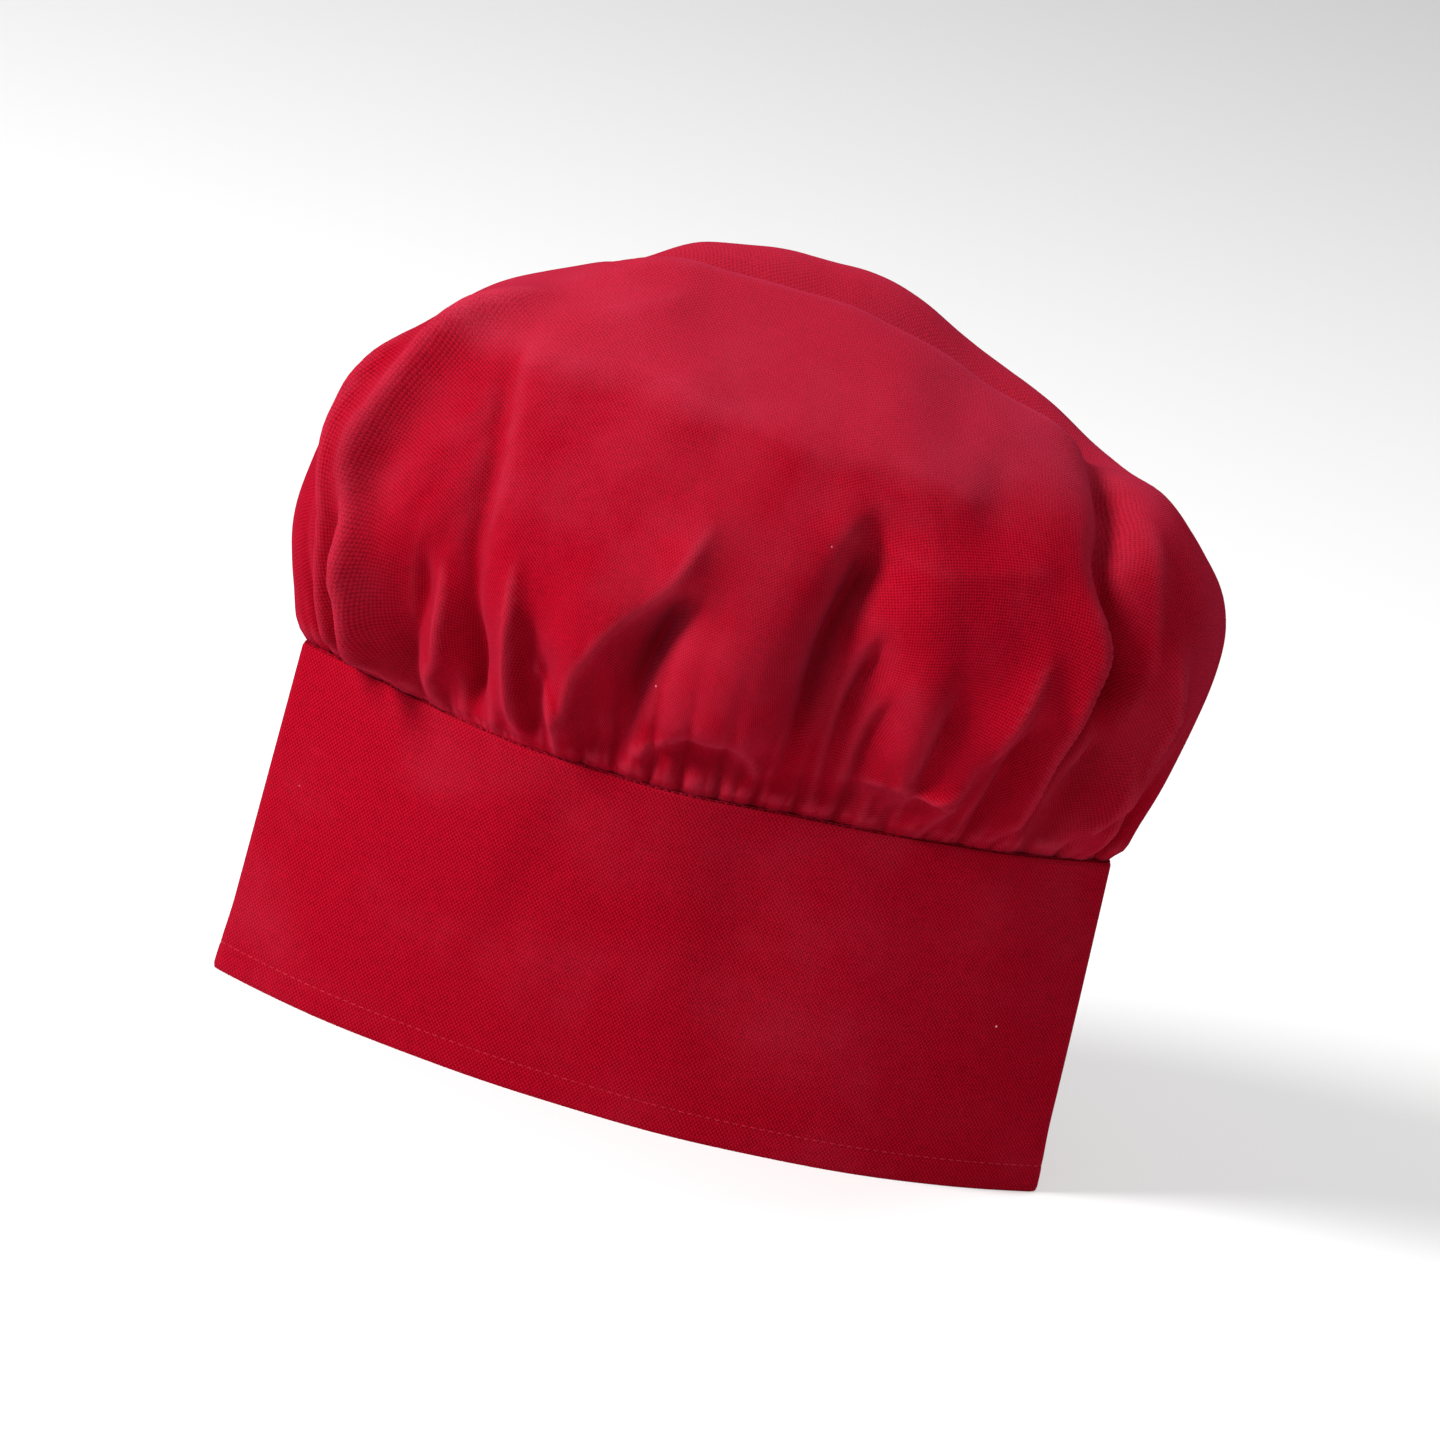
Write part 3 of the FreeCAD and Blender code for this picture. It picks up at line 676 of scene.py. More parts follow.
def topOut(x, y):
    out, place, width = topShape["ridge"]
    shape = out * cusp((y - place) / width)
    for out, place, width in (topShape["dip"], topShape["back"]):
        shape += out * math.exp(-(((y - place) / width) ** 2))
    return shape * smoothStep(*topShape["left"], x) * (1 - smoothStep(*topShape["right"], x))


def ringLengths(rows=60, columns=160):
    lengths = []
    for row in range(rows + 1):
        ring = [crownBase(k / columns, row / rows) for k in range(columns)]
        lengths.append(sum((ring[k] - ring[k - 1]).length for k in range(columns)))
    return lengths


def placeFold(points, out, spread, samples):
    # Finds the fold's line on the puff: shares of the way round, against the share of the way up.
    line = []
    for x, z in points:
        target = Vector((x * mm, z * mm))
        part, t, _ = min(samples, key=lambda sample: (sample[2] - target).length_squared)
        line.append((t, part))
    line.sort()
    return {"line": line, "out": out * mm * crown["foldGain"], "spread": [width * mm for width in spread]}


def backFolds(rng, start, end, count):
    # Folds of the sides and back, unevenly spaced.
    folds = []
    for k in range(count):
        part = start + (end - start) * (k + 0.5 + rng.uniform(-0.32, 0.32)) / count
        high = rng.choice((0.18, 0.28, 0.42, 0.55)) * rng.uniform(0.8, 1.2)
        lean = rng.uniform(-0.012, 0.012)
        line = [(0.0, part), (high * 0.5, part + lean * 0.6), (high, part + lean)]
        deep = rng.uniform(7, 14) * (0.7 + 0.6 * high)
        spread = [rng.uniform(4, 9) * mm, rng.uniform(4, 9) * mm]
        folds.append({"line": line, "out": -deep * mm, "spread": spread})
        if rng.random() < 0.5:
            shift = rng.choice((-1, 1)) * 0.016
            ridge = [(t, p + shift) for t, p in line]
            folds.append({"line": ridge, "out": rng.uniform(3, 5) * mm, "spread": [6 * mm, 4 * mm]})
    return folds


def prepareFolds():
    # The front half of the puff, sampled: share of the way round, share of the way up, place.
    samples, columns, rows = [], 260, 100
    for i in range(columns):
        for j in range(rows + 1):
            place = crownBase(0.5 * i / columns, j / rows)
            samples.append((0.5 * i / columns, j / rows, Vector((place.x, place.z))))
    rng = random.Random(crown["seed"])
    folds = [placeFold(*fold, samples) for fold in frontFolds]
    folds += backFolds(rng, *crown["backPart"], crown["backFolds"])
    steps = crown["foldSteps"]
    for fold in folds:
        low, high = fold["line"][0][0], fold["line"][-1][0]
        centres = [curveThrough(fold["line"], low + (high - low) * k / steps) for k in range(steps + 1)]
        for _ in range(crown["foldEvening"]):
            inner = [(a + b + c) / 3 for a, b, c in zip(centres, centres[1:], centres[2:])]
            centres = [centres[0], *inner, centres[-1]]
        fold["centres"] = centres
    gathers = []
    for kind in crown["gathers"]:
        made, part = [], 0.0
        while part < 1.0:
            width = rng.uniform(*kind["wide"]) * mm / outlineLength
            made.append((part, width, rng.uniform(0.4, 1.0) * kind["out"] * mm, rng.uniform(*kind["high"])))
            part += width
        gathers.append(([gather[0] for gather in made], made))
    return folds, gathers


def foldOut(fold, part, t, ring):
    low, high = fold["line"][0][0], fold["line"][-1][0]
    if t > high + 0.05 or t < low - 0.05:
        return 0.0
    step = min(max((t - low) / (high - low), 0.0), 1.0) * crown["foldSteps"]
    i = min(int(step), crown["foldSteps"] - 1)
    centre = fold["centres"][i] + (fold["centres"][i + 1] - fold["centres"][i]) * (step - i)
    distance = ((part - centre + 0.5) % 1.0 - 0.5) * ring
    away = abs(distance) / fold["spread"][0 if distance < 0 else 1]
    if away > 5:
        return 0.0
    top = 1 - smoothStep(high - 0.09, high + 0.04, t)
    bottom = 1.0 if low < 0.04 else smoothStep(low - 0.05, low + 0.02, t)
    pinch = 0.06 + 0.94 * smoothStep(0.0, 0.07, t)
    out = fold["out"]
    if out < 0:
        shallow = max(out, -crown["seamDip"])    # near the seam a deep fold closes up
        out = shallow + (out - shallow) * smoothStep(0.06, 0.26, t)
    return out * cusp(away) * top * bottom * pinch


def gatherOut(gathers, part, t):
    out = 0.0
    for starts, made in gathers:
        start, width, size, high = made[bisect.bisect_right(starts, part % 1.0) - 1]
        share = min(((part % 1.0) - start) / width, 1.0)
        level = 1.0 - 0.4 * smoothStep(0.0, 0.02, t)    # at the seam no gather stands out of the band
        out += (math.sin(math.pi * share) ** 0.65 - level) * size * math.exp(-t / high)
    return out * (0.15 + 0.85 * smoothStep(0.0, 0.025, t))


def crossOut(place):
    # How far the creases across the front lift the cloth here.
    out = 0.0
    if place.y > -10 * mm:
        return out
    x, z = place.x / mm, place.z / mm
    for points, size, (above, below) in crossFolds:
        if not points[0][0] - 8 < x < points[-1][0] + 8:
            continue
        level = curveThrough(points, min(max(x, points[0][0]), points[-1][0]))
        away = (z - level) / (above if z > level else below)
        if abs(away) < 5:
            ends = smoothStep(-8, 6, min(x - points[0][0], points[-1][0] - x))
            out += size * mm * cusp(away) * ends
    return out


def swellOut(place):
    out = 0.0
    if place.y < 0:
        for x, z, width, height, size in frontSwells:
            away = ((place.x / mm - x) / width) ** 2 + ((place.z / mm - z) / height) ** 2
            if away < 9:
                out += size * mm * math.exp(-away)
    return out


def discPoint(x, y):
    # Takes a square of side 2 to a round of radius 1.
    return Vector((x * math.sqrt(1 - y * y / 2), y * math.sqrt(1 - x * x / 2)))


def crownPoint(flat, folds, gathers, rings):
    part = (math.atan2(flat.y, flat.x) - math.pi) / (2 * math.pi) % 1.0
    t = max(1 - flat.length / crown["flatRadius"], 0.0)
    place = crownBase(part, t)
    spot = t * (len(rings) - 1)
    i = min(int(spot), len(rings) - 2)
    ring = rings[i] + (rings[i + 1] - rings[i]) * (spot - i)
    out = sum(foldOut(fold, part, t, ring) for fold in folds) + swellOut(place)
    out += crossOut(place)
    uneven = noise.noise(Vector((place.x, place.y, place.z * 0.45)) / crown["unevenWide"])
    out += uneven * crown["uneven"] * smoothStep(0.03, 0.15, t)
    out += gatherOut(gathers, part, t)
    rise = smoothStep(0.0, 0.14, t)
    level = outline(part)[1].to_3d() if rise < 1 else Vector((0, 0, 0))
    place += (crownOut(part, t) * rise + level * (1 - rise)) * out
    place.z += topOut(place.x, place.y) * smoothStep(0.5, 0.75, t)
    return place


settling = {
    "frames": 16,
    "quality": 7,
    "mass": 0.1,
    "pressure": 0.8,
    "tension": 40.0,
    "compression": 30.0,
    "shear": 10.0,
    "bending": 0.15,
    "damping": 3.0,
    "hold": 0.25,                 # how firmly the cloth keeps its posed shape
    "fullness": 0.9,              # the rim of the cloth at rest, as a share of the flat cut's
    "cap": 12 * mm,
    "evening": 14,                # times the move is evened out, so that creases stay sharp
}


def cupTurn():
    # The angle of a bowl whose rim is "fullness" of the flat round's rim.
    low, high = 0.05, 3.1
    for _ in range(40):
        turn = (low + high) / 2
        low, high = (turn, high) if math.sin(turn) / turn > settling["fullness"] else (low, turn)
    return turn


def restPoint(flat, cup):
    # The cloth at rest: the round cut, cupped a little, as gathered cloth takes up some width.
    turn = flat.length / cup
    around = math.sin(turn) / turn if turn else 1.0
    return Vector((flat.x * around, flat.y * around, cup * math.cos(turn)))


def gridCrown(name, segments, folds, gathers, rings):
    # The crown on a square grid: its piece, where each point lies on the square, and on the cloth.
    bm = bmesh.new()
    bmesh.ops.create_grid(bm, x_segments=segments, y_segments=segments, size=1.0)
    squares = [vert.co.to_2d() for vert in bm.verts]
    rounds = {vert: discPoint(vert.co.x, vert.co.y) * crown["flatRadius"] for vert in bm.verts}
    flatLayer(bm, lambda vert: rounds[vert] + Vector((0.5, 0.5)))
    for vert in bm.verts:
        vert.co = crownPoint(rounds[vert], folds, gathers, rings)
    return addMesh(name, bm, finishes["crown"]), squares, list(rounds.values())


def simulate(piece, flats):
    # Runs the cloth on the posed shape and returns how far each point moved.
    print("crown settles")
    cup = crown["flatRadius"] / cupTurn()
    starts = [vert.co.copy() for vert in piece.data.vertices]
    hold = piece.vertex_groups.new(name="hold")
    for i, flat in enumerate(flats):
        sewn = flat.length > crown["flatRadius"] - 1 * mm
        hold.add([i], 1.0 if sewn else settling["hold"], "REPLACE")
    piece.shape_key_add(name="gathered")
    rest = piece.shape_key_add(name="cut")
    for i, flat in enumerate(flats):
        rest.data[i].co = restPoint(flat, cup)
    cloth = addModifier(piece, "CLOTH")
    settings = cloth.settings
    settings.quality = settling["quality"]
    settings.mass = settling["mass"]
    settings.tension_stiffness = settling["tension"]
    settings.compression_stiffness = settling["compression"]
    settings.shear_stiffness = settling["shear"]
    settings.bending_stiffness = settling["bending"]
    settings.vertex_group_mass = "hold"
    settings.pin_stiffness = 1.0
    settings.rest_shape_key = rest
    settings.use_pressure = True
    settings.uniform_pressure_force = settling["pressure"]
    settings.effector_weights.gravity = 0.0
    settings.air_damping = settling["damping"]
    cloth.collision_settings.use_collision = False
    cloth.collision_settings.use_self_collision = False
    cloth.point_cache.frame_start, cloth.point_cache.frame_end = 1, settling["frames"]
    for number in range(1, settling["frames"] + 1):
        scene.frame_set(number)
    settled = piece.evaluated_get(bpy.context.evaluated_depsgraph_get()).to_mesh()
    moves = [vert.co - start for vert, start in zip(settled.vertices, starts)]
    scene.frame_set(1)
    lengths = sorted(move.length / mm for move in moves)
    print("cloth moved", round(lengths[len(lengths) // 2], 2), "mm, at most", round(lengths[-1], 2))
    return [move * min(1.0, settling["cap"] / max(move.length, 1e-9)) for move in moves]


def settleCrown(piece, squares, folds, gathers, rings):
    # The cloth moves on a coarser grid, and the fine one follows it.
    segments = crown["simSegments"]
    coarse, corners, flats = gridCrown("crown_settling", segments, folds, gathers, rings)
    moves = simulate(coarse, flats)
    table = {}
    for corner, move in zip(corners, moves):
        table[round((corner.x + 1) / 2 * segments), round((corner.y + 1) / 2 * segments)] = move
    bpy.data.objects.remove(coarse)
    for _ in range(settling["evening"]):
        evened = {}
        for (i, j), move in table.items():
            around = [table.get(near, move) for near in ((i - 1, j), (i + 1, j), (i, j - 1), (i, j + 1))]
            evened[i, j] = sum(around, move) / 5
        table = evened
    for vert, square in zip(piece.data.vertices, squares):
        x, y = (square.x + 1) / 2 * segments, (square.y + 1) / 2 * segments
        i, j = min(int(x), segments - 1), min(int(y), segments - 1)
        low = table[i, j].lerp(table[i + 1, j], x - i)
        vert.co += low.lerp(table[i, j + 1].lerp(table[i + 1, j + 1], x - i), y - j)


def soften(piece):
    # Takes the steps of the grid out of steep folds, and leaves the sewn rim where it is.
    bm = bmesh.new()
    bm.from_mesh(piece.data)
    level = (crown["seamUp"] + 2.5) * mm
    inner = [vert for vert in bm.verts if not vert.is_boundary and vert.co.z > level]
    for _ in range(crown["softened"]):
        bmesh.ops.smooth_vert(bm, verts=inner, factor=0.5, use_axis_x=True, use_axis_y=True,
                              use_axis_z=True)
    bm.to_mesh(piece.data)
    bm.free()


def markCrests(piece):
    # How sharply the cloth is creased outwards at each point, for the lighter colour along its folds: a
    # painted highlight on the crests, and wear.
    bm = bmesh.new()
    bm.from_mesh(piece.data)
    bm.normal_update()
    layer = bm.verts.layers.float.new("crest")
    for vert in bm.verts:
        near = [edge.other_vert(vert).co for edge in vert.link_edges]
        middle = sum(near, Vector()) / len(near)
        size = sum((vert.co - co).length for co in near) / len(near)
        vert[layer] = smoothStep(0.02, 0.14, (vert.co - middle).dot(vert.normal) / size)
    bm.to_mesh(piece.data)
    bm.free()


def makeCrown():
    print("crown cloth")
    folds, gathers = prepareFolds()
    rings = ringLengths()
    piece, squares, _ = gridCrown("crown_cloth", crown["segments"], folds, gathers, rings)
    settleCrown(piece, squares, folds, gathers, rings)
    soften(piece)
    markCrests(piece)
    addModifier(piece, "SOLIDIFY", thickness=crown["thickness"], offset=0.0)
    settle(piece, "root", "crown_cotton", "crown_fabric")


makeCrown()

seam = {
    "allowance": 14.5 * mm,       # of the crown's cloth, below the seam
    "gap": 2.9 * mm,              # its middle, counted inwards from the band's outer face
    "ruffleOut": 0.85 * mm,
    "ruffleWidth": (2.2 * mm, 3.6 * mm),
    "faceGap": 4.0 * mm,          # where the threads lie on it
    "stitches": [("seam_stitches", "crown_seam_stitch", 114.2 * mm, 2.6 * mm, "sewing_thread", "thread"),
                 ("gather_stitches_upper", "gathering_thread_upper", 111.2 * mm, 7.0 * mm,
                  "gathering_thread", "gather"),
                 ("gather_stitches_lower", "gathering_thread_lower", 107.2 * mm, 7.0 * mm,
                  "gathering_thread", "gather")],
    "overlockPitch": 2.6 * mm,
    "overlockUp": (100.8 * mm, 104.2 * mm),
    "seed": 5,
}


def makeAllowance():
    # The gathered edge of the crown, turned down inside the band.
    print("seam allowance")
    rng = random.Random(seam["seed"])
    edges = [0.0]
    while edges[-1] < 1.0:
        edges.append(edges[-1] + rng.uniform(*seam["ruffleWidth"]) / outlineLength)
    edges[-1] = 1.0
    top = crown["seamUp"] * mm

    def place(across, down):
        i = min(bisect.bisect_right(edges, across) - 1, len(edges) - 2)
        width = edges[i + 1] - edges[i]
        turn = 2 * math.pi * (across - edges[i]) / width
        full = smoothStep(0.0, 0.2, down)
        gap = crown["seamGap"] + (seam["gap"] - crown["seamGap"]) * full
        gap -= seam["ruffleOut"] * (0.3 + 0.7 * full) * math.cos(turn)
        z = top + 0.3 * mm * math.sin(min(down / 0.12, 1.0) * math.pi) - down * seam["allowance"]
        z += 0.3 * mm * math.sin(turn * 0.37 + 9 * across) * down
        return bandPoint(across - 0.14 * width * math.sin(2 * turn), z, gap)

    cutLength = 2 * math.pi * (crown["flatRadius"] + seam["allowance"] / 2)
    size = (cutLength, seam["allowance"])
    piece = curvedStrip("crown_allowance", finishes["crown"], place, size, (len(edges) - 1) * 9, 7,
                        0.35 * mm, dense=(False, False))
    settle(piece, "root", "crown_cotton", "crown_fabric")


def sew(name, finish, places, length, width):
    # One low grain of thread for each stitch; places hold its middle, its way along and out.
    grain = bmesh.new()
    bmesh.ops.create_uvsphere(grain, u_segments=6, v_segments=5, radius=0.5)
    template = bpy.data.meshes.new("grain")
    grain.to_mesh(template)
    grain.free()
    bm = bmesh.new()
    for middle, along, out in places:
        across = out.cross(along).normalized()
        columns = (across * width, out * width, along * length)
        matrix = Matrix(columns).transposed().to_4x4()
        matrix.translation = middle
        one = template.copy()
        one.transform(matrix)
        bm.from_mesh(one)
        bpy.data.meshes.remove(one)
    bpy.data.meshes.remove(template)
    return addMesh(name, bm, finishes[finish])


def row(point, pitch):
    # Evenly pitched places along point(share, lift), each turned a little.
    samples = [point(k / 100, 0.0) for k in range(101)]
    length = sum((samples[k + 1] - samples[k]).length for k in range(100))
    count = max(round(length / pitch), 2)
    rng = random.Random(count)
    places = []
    for k in range(count):
        share = (k + 0.5) / count
        middle = point(share, 0.0)
        along = (point(share + 0.2 / count, 0.0) - point(share - 0.2 / count, 0.0)).normalized()
        out = (point(share, 1 * mm) - middle).normalized()
        turned = rng.uniform(-stitching["wobble"], stitching["wobble"])
        places.append((middle, (along + out.cross(along) * turned).normalized(), out))
    return places


stitching = {
    "hemPitch": 3.0 * mm,
    "hemStitch": 2.3 * mm,
    "thread": 0.42 * mm,
    "sunk": 0.2 * mm,             # how deep the thread's middle lies in the cloth
    "tabPitch": 2.8 * mm,
    "tabStitch": 2.1 * mm,
    "wobble": 0.05,               # how far a stitch turns out of its row, as a slope
}


def makeBandStitches():
    print("stitches")
    start, end = partOfBack(band["slit"][0] - 2 * mm), 1.0 + partOfBack(band["slit"][1] + 2 * mm)
    innerFace = band["liningGap"] + band["outerGap"]
    sunk = stitching["sunk"]
    rows = [("hem_stitches_outside", "hem_topstitch", sunk, -1),
            ("hem_stitches_inside", "hem_bobbin_stitch", innerFace - sunk, 1)]
    for name, node, gap, way in rows:

        def hem(s, lift):
            return bandPoint(start + (end - start) * s, band["hemStitch"], gap + way * lift)

        places = row(hem, stitching["hemPitch"])
        piece = sew(name, "thread", places, stitching["hemStitch"], stitching["thread"])
        settle(piece, "root", "sewing_thread", node)
    for name, node, z, pitch, slot, finish in seam["stitches"]:

        def level(s, lift):
            return bandPoint(s, z, seam["faceGap"] + lift)

        piece = sew(name, finish, row(level, pitch), pitch * 0.82, stitching["thread"])
        settle(piece, "root", slot, node)


def makeOverlock():
    low, high = seam["overlockUp"]
    count = round(outlineLength / seam["overlockPitch"])
    slanted, along = [], []
    for k in range(count):
        first, second = k / count, (k + 0.55) / count
        bottom = bandPoint(first, low, seam["faceGap"] - 0.1 * mm)
        top = bandPoint(second, high, seam["faceGap"] - 0.1 * mm)
        _, outward = outline(first)
        out = -Vector((outward.x, outward.y, 0))
        slanted.append(((bottom + top) / 2, (top - bottom).normalized(), out))
        edge = bandPoint(first, low, seam["gap"])
        onward = bandPoint((k + 1) / count, low, seam["gap"])
        along.append(((edge + onward) / 2, (onward - edge).normalized(), Vector((0, 0, -1))))
    loops = sew("overlock_loops", "overlock", slanted, high - low + 0.6 * mm, 0.5 * mm)
    settle(loops, "root", "overlock_thread", "seam_overlock_thread")
    edging = sew("overlock_edge", "overlock", along, seam["overlockPitch"] * 1.25, 1.1 * mm)
    settle(edging, "root", "overlock_thread", "seam_overlock_thread")


makeAllowance()
makeBandStitches()
makeOverlock()

tabLow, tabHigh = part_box("tab_outer_panel")
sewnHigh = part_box("tab_root_flange")[1]
tab = {
    "bend": (34.5 * mm, 40.5 * mm),   # the cloth bends between these, about this far out
    "bendLift": 3.0 * mm,
    "outerLift": 4.3 * mm,            # middles of the layers, counted out from the band's face
    "coreLift": 3.7 * mm,
    "innerLift": 3.1 * mm,
    "sewnOuter": 1.7 * mm,            # the same past the bend, where the tab is sewn down
    "sewnInner": 0.8 * mm,
    "cloth": 0.6 * mm,
    "turned": 1.6 * mm,
    "columns": 64,
    "rows": 60,
}


def tabWave(x, z):
    return 0.25 * mm * (1 + math.sin(x / (15 * mm) + z / (33 * mm)))


def tabStrip(name, finish, lift, sewnLift, turnIn, inset, end, thickness):
    low, high = tabLow.z + inset, tabHigh.z - inset
    start = tabLow.x + inset
    length = end - start

    def place(across, up):
        x, z = start + length * across, low + (high - low) * up
        near = 1 - smoothStep(0.0, tab["turned"], min(x - start, z - low, high - z))
        sewn = smoothStep(*tab["bend"], x)
        level = lift + (sewnLift - lift) * sewn
        return backPoint(x, z, level + turnIn * near + tabWave(x, z) * (1 - sewn))

    return curvedStrip(name, finishes[finish], place, (length, high - low), tab["columns"], tab["rows"],
                       thickness), (length, high - low)


def makeTab():
    print("tab")
    bendEnd, bendStart = (backPoint(x, band["height"] / 2, tab["bendLift"]) for x in tab["bend"])
    layers = [("tab_cover", "outerLift", "sewnOuter", -0.3 * mm, ("tab_outer_panel", "tab_root_flange")),
              ("tab_lining", "innerLift", "sewnInner", 0.3 * mm, ("tab_inner_panel",))]
    for name, lift, sewnLift, turnIn, nodes in layers:
        piece, size = tabStrip(name, "band", tab[lift], tab[sewnLift], turnIn, 0.0, sewnHigh.x,
                               tab["cloth"])
        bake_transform(piece)
        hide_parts(*nodes)
    core, size = tabStrip("tab_core", "felt", tab["coreLift"], tab["coreLift"], 0.0, 1.8 * mm,
                          tab["bend"][0] - 1.5 * mm, band["coreCloth"])
    settle(core, "closure_tab", "interfacing", "tab_interfacing")


def makeTabStitches():
    low, high = tabLow.z + 2.5 * mm, tabHigh.z - 2.5 * mm
    face = tab["outerLift"] + tab["cloth"] / 2
    sewnFace = tab["sewnOuter"] + tab["cloth"] / 2
    hemStart, hemEnd = tabLow.x + 5 * mm, tab["bend"][0] - 1 * mm
    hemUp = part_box("tab_hem_topstitch")[0].z

    def hem(s, lift):
        x = hemStart + (hemEnd - hemStart) * s
        return backPoint(x, hemUp, face + tabWave(x, hemUp) + lift)

    rows = [("tab_edge_stitches", "tab_edge_topstitch", "closure_tab"),
            ("tab_hem_stitches", "tab_hem_topstitch", "closure_tab"),
            ("tab_root_stitches_near", "tab_root_topstitch_inner", "root"),
            ("tab_root_stitches_far", "tab_root_topstitch_outer", "root")]
    for name, node, body in rows:
        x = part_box(node)[0].x

        def upright(s, lift):
            z = low + (high - low) * s
            level = sewnFace if body == "root" else face + tabWave(x, z)
            return backPoint(x, z, level + lift)

        point = hem if name == "tab_hem_stitches" else upright
        places = row(point, stitching["tabPitch"])
        piece = sew(name, "thread", places, stitching["tabStitch"], stitching["thread"])
        settle(piece, body, "sewing_thread", node)


tape = {
    "edge": 1.2 * mm,             # a bare woven edge round the pile
    "edgeHeight": 0.15 * mm,
    "bump": 0.44 * mm,
    "step": 0.6 * mm,
    "cloth": 0.25 * mm,
    "stitchInset": 0.7 * mm,
    "stitchLift": 0.3 * mm,
    "thread": 0.3 * mm,
}


def makeTape(name, node, finish, slot, body, base, pile, seed):
    # A strip of hook or loop tape; its pile stands from base to pile, outwards or inwards.
    low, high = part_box(node)
    width, height = high.x - low.x, high.z - low.z
    rng = random.Random(seed)
    way = 1 if pile > base else -1
    columns, rows = round(width / tape["step"]), round(height / tape["step"])

    def place(across, up):
        edge = min(across * width, (1 - across) * width, up * height, (1 - up) * height)
        rise = smoothStep(tape["edge"], tape["edge"] + 0.5 * mm, edge)
        stand = tape["edgeHeight"] + (abs(pile - base) - tape["edgeHeight"]) * rise
        stand -= rng.uniform(0, tape["bump"]) * rise
        return backPoint(low.x + across * width, low.z + up * height, base + way * stand)

    piece = curvedStrip(name, finishes[finish], place, (width, height), columns, rows, tape["cloth"],
                        dense=(False, False))
    settle(piece, body, slot, node)
    inset = tape["stitchInset"]
    left, right, bottom, top = low.x + inset, high.x - inset, low.z + inset, high.z - inset
    corners = [(left, bottom), (right, bottom), (right, top), (left, top), (left, bottom)]
    places = []
    for (x0, z0), (x1, z1) in zip(corners, corners[1:]):

        def side(s, lift):
            level = base + way * (tape["stitchLift"] + lift)
            return backPoint(x0 + (x1 - x0) * s, z0 + (z1 - z0) * s, level)

        places += row(side, stitching["tabPitch"])
    return places


def makeTapes():
    print("hook and loop tapes")
    kinds = [("loops", "loop_strip", "loop_tape", "root", 0.1 * mm, 1.15 * mm),
             ("hooks", "hook_patch", "hook_tape", "closure_tab", 2.65 * mm, 1.65 * mm)]
    for kind, node, slot, body, base, pile in kinds:
        places = []
        for seed, level in enumerate(("lower", "upper")):
            places += makeTape(f"{kind}_{level}", f"{node}_{level}", kind, slot, body, base, pile, seed)
        piece = sew(f"{kind}_stitches", "thread", places, stitching["tabStitch"], tape["thread"])
        settle(piece, body, "sewing_thread")


makeTab()
makeTabStitches()
makeTapes()

label = {
    "middle": Vector((-60.336, 34.757, 0)) * mm,    # on the lining's inner side
    "turn": math.radians(15),                       # round the back's arc, from its middle
    "width": 28 * mm,
    "top": 113.3 * mm,
    "bottom": 72.2 * mm,
    "half": 0.35 * mm,            # half the distance between the two plies
    "curl": 1.6 * mm,
    "thickness": 0.25 * mm,
    "stitchUp": 112.3 * mm,
}


def labelPoint(across, s):
    # The ribbon goes down in front, round its fold and up behind; s is its share of the way.
    leg = label["top"] - label["bottom"] - label["half"]
    if s < 0.4:
        z, shift = label["top"] - leg * s / 0.4, -label["half"]
    elif s > 0.6:
        z, shift = label["top"] - leg * (1 - s) / 0.4, label["half"]
    else:
        turn = math.pi * (s - 0.4) / 0.2
        z = label["top"] - leg - label["half"] * math.sin(turn)
        shift = -label["half"] * math.cos(turn)
    drop = (label["top"] - z) / leg
    shift -= label["curl"] * drop**2 * (0.8 + 0.4 * across)
    shift += 0.35 * mm * math.sin(across * 5.0 + 1.0) * drop
    x = (across - 0.5) * label["width"]
    cosine, sine = math.cos(label["turn"]), math.sin(label["turn"])
    return label["middle"] + Vector((x * cosine - shift * sine, x * sine + shift * cosine, z))


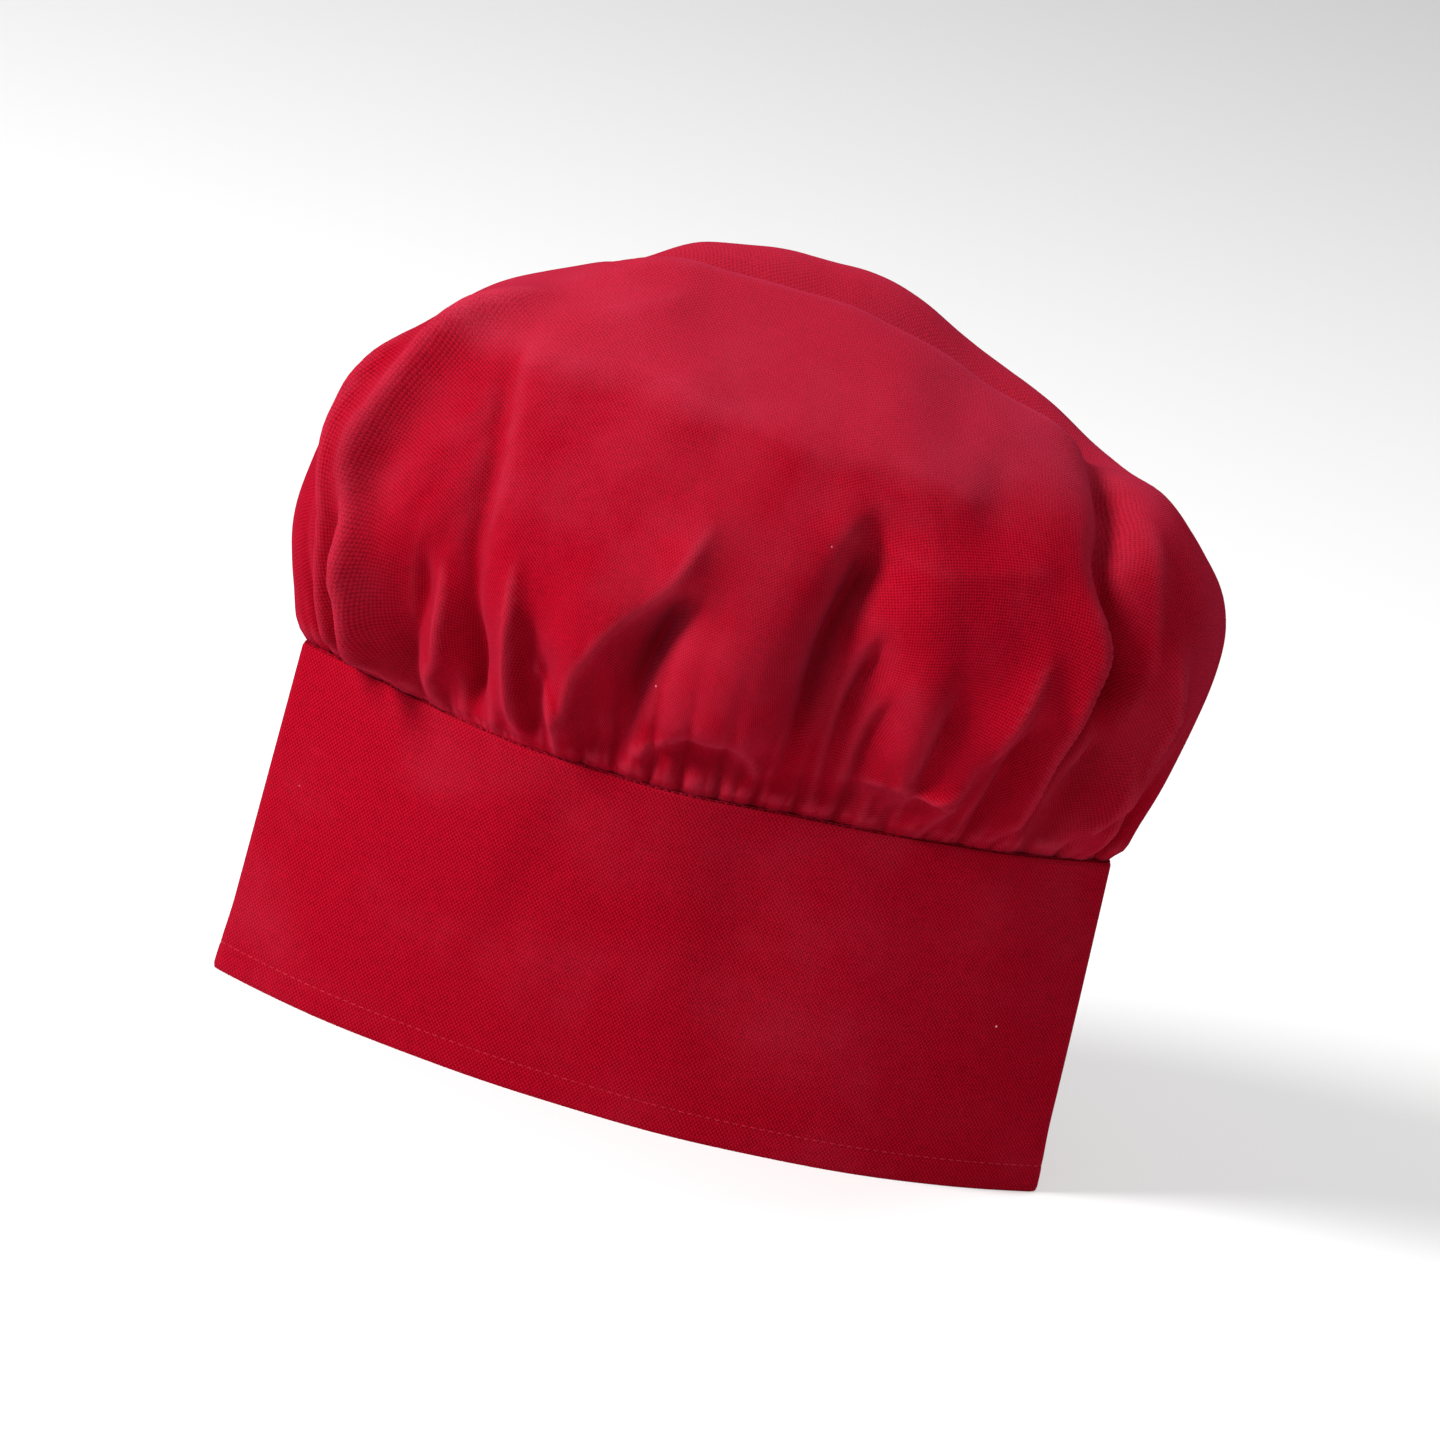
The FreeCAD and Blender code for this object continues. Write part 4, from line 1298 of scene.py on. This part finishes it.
def makeLabel():
    print("label")
    length = 2 * (label["top"] - label["bottom"]) + (math.pi - 2) * label["half"]
    size = (label["width"], length)
    piece = curvedStrip("care_ribbon", finishes["ribbon"], labelPoint, size, 16, 100, label["thickness"],
                        dense=(False, False))
    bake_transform(piece)
    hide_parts("care_label")

    def point(s, lift):
        place = labelPoint(0.04 + 0.92 * s, 0.0)
        place.z = label["stitchUp"]
        return place + Vector((math.sin(label["turn"]), -math.cos(label["turn"]), 0)) * (0.1 * mm + lift)

    stitches = sew("label_stitches", "ribbon", row(point, 2.6 * mm), 2.0 * mm, 0.4 * mm)
    settle(stitches, "root", "label_ribbon", "label_stitch")


makeLabel()

view = {
    "elevation": 15.6,
    "roll": 15.3,
    "distance": 2.6,
    "lens": 200,
    "aim": (-0.0008, 0.0, 0.1263),
}

studio = {
    "floor": 0.68,
    "floorGlow": 0.22,
    "sky": 0.32,
    "aim": (0, 0, 0.14),
    # Round lamps: name, place, width and power.
    "lamps": [("key", (-1.6, -0.95, 1.4), 0.8, 82),
              ("fill", (0.2, -2.2, 1.0), 1.6, 4),
              ("top", (0.5, 0.8, 2.3), 1.2, 25)],
}


def makeStage():
    bm = bmesh.new()
    bmesh.ops.create_grid(bm, x_segments=2, y_segments=2, size=30.0)
    finish = Finish("paleFloor", Base_Color=(*[studio["floor"]] * 3, 1), Roughness=0.8,
                    Emission_Color=(1, 1, 1, 1), Emission_Strength=studio["floorGlow"])
    floor = addMesh("floor", bm, finish.material, smooth=False)
    world = bpy.data.worlds.new("studio")
    world.use_nodes = True
    background = world.node_tree.nodes["Background"]
    background.inputs["Color"].default_value = (1, 1, 1, 1)
    background.inputs["Strength"].default_value = studio["sky"]
    scene.world = world


def makeLight(name, place, size, energy):
    light = bpy.data.lights.new(name, "AREA")
    light.shape, light.size, light.energy = "DISK", size, energy
    lamp = bpy.data.objects.new(name, light)
    scene.collection.objects.link(lamp)
    lamp.location = place
    lamp.rotation_euler = (Vector(studio["aim"]) - Vector(place)).to_track_quat("-Z", "Y").to_euler()


def makeCamera():
    camera = bpy.data.objects.new("camera", bpy.data.cameras.new("camera"))
    scene.collection.objects.link(camera)
    camera.data.lens = view["lens"]
    elevation = math.radians(view["elevation"])
    back = Vector((0, -math.cos(elevation), math.sin(elevation)))
    camera.location = Vector(view["aim"]) + back * view["distance"]
    camera.rotation_mode = "QUATERNION"
    roll = Quaternion((0, 0, 1), math.radians(view["roll"]))
    camera.rotation_quaternion = (-back).to_track_quat("-Z", "Y") @ roll
    scene.camera = camera


print("stage, lights and camera")
makeStage()
for lamp in studio["lamps"]:
    makeLight(*lamp)
makeCamera()
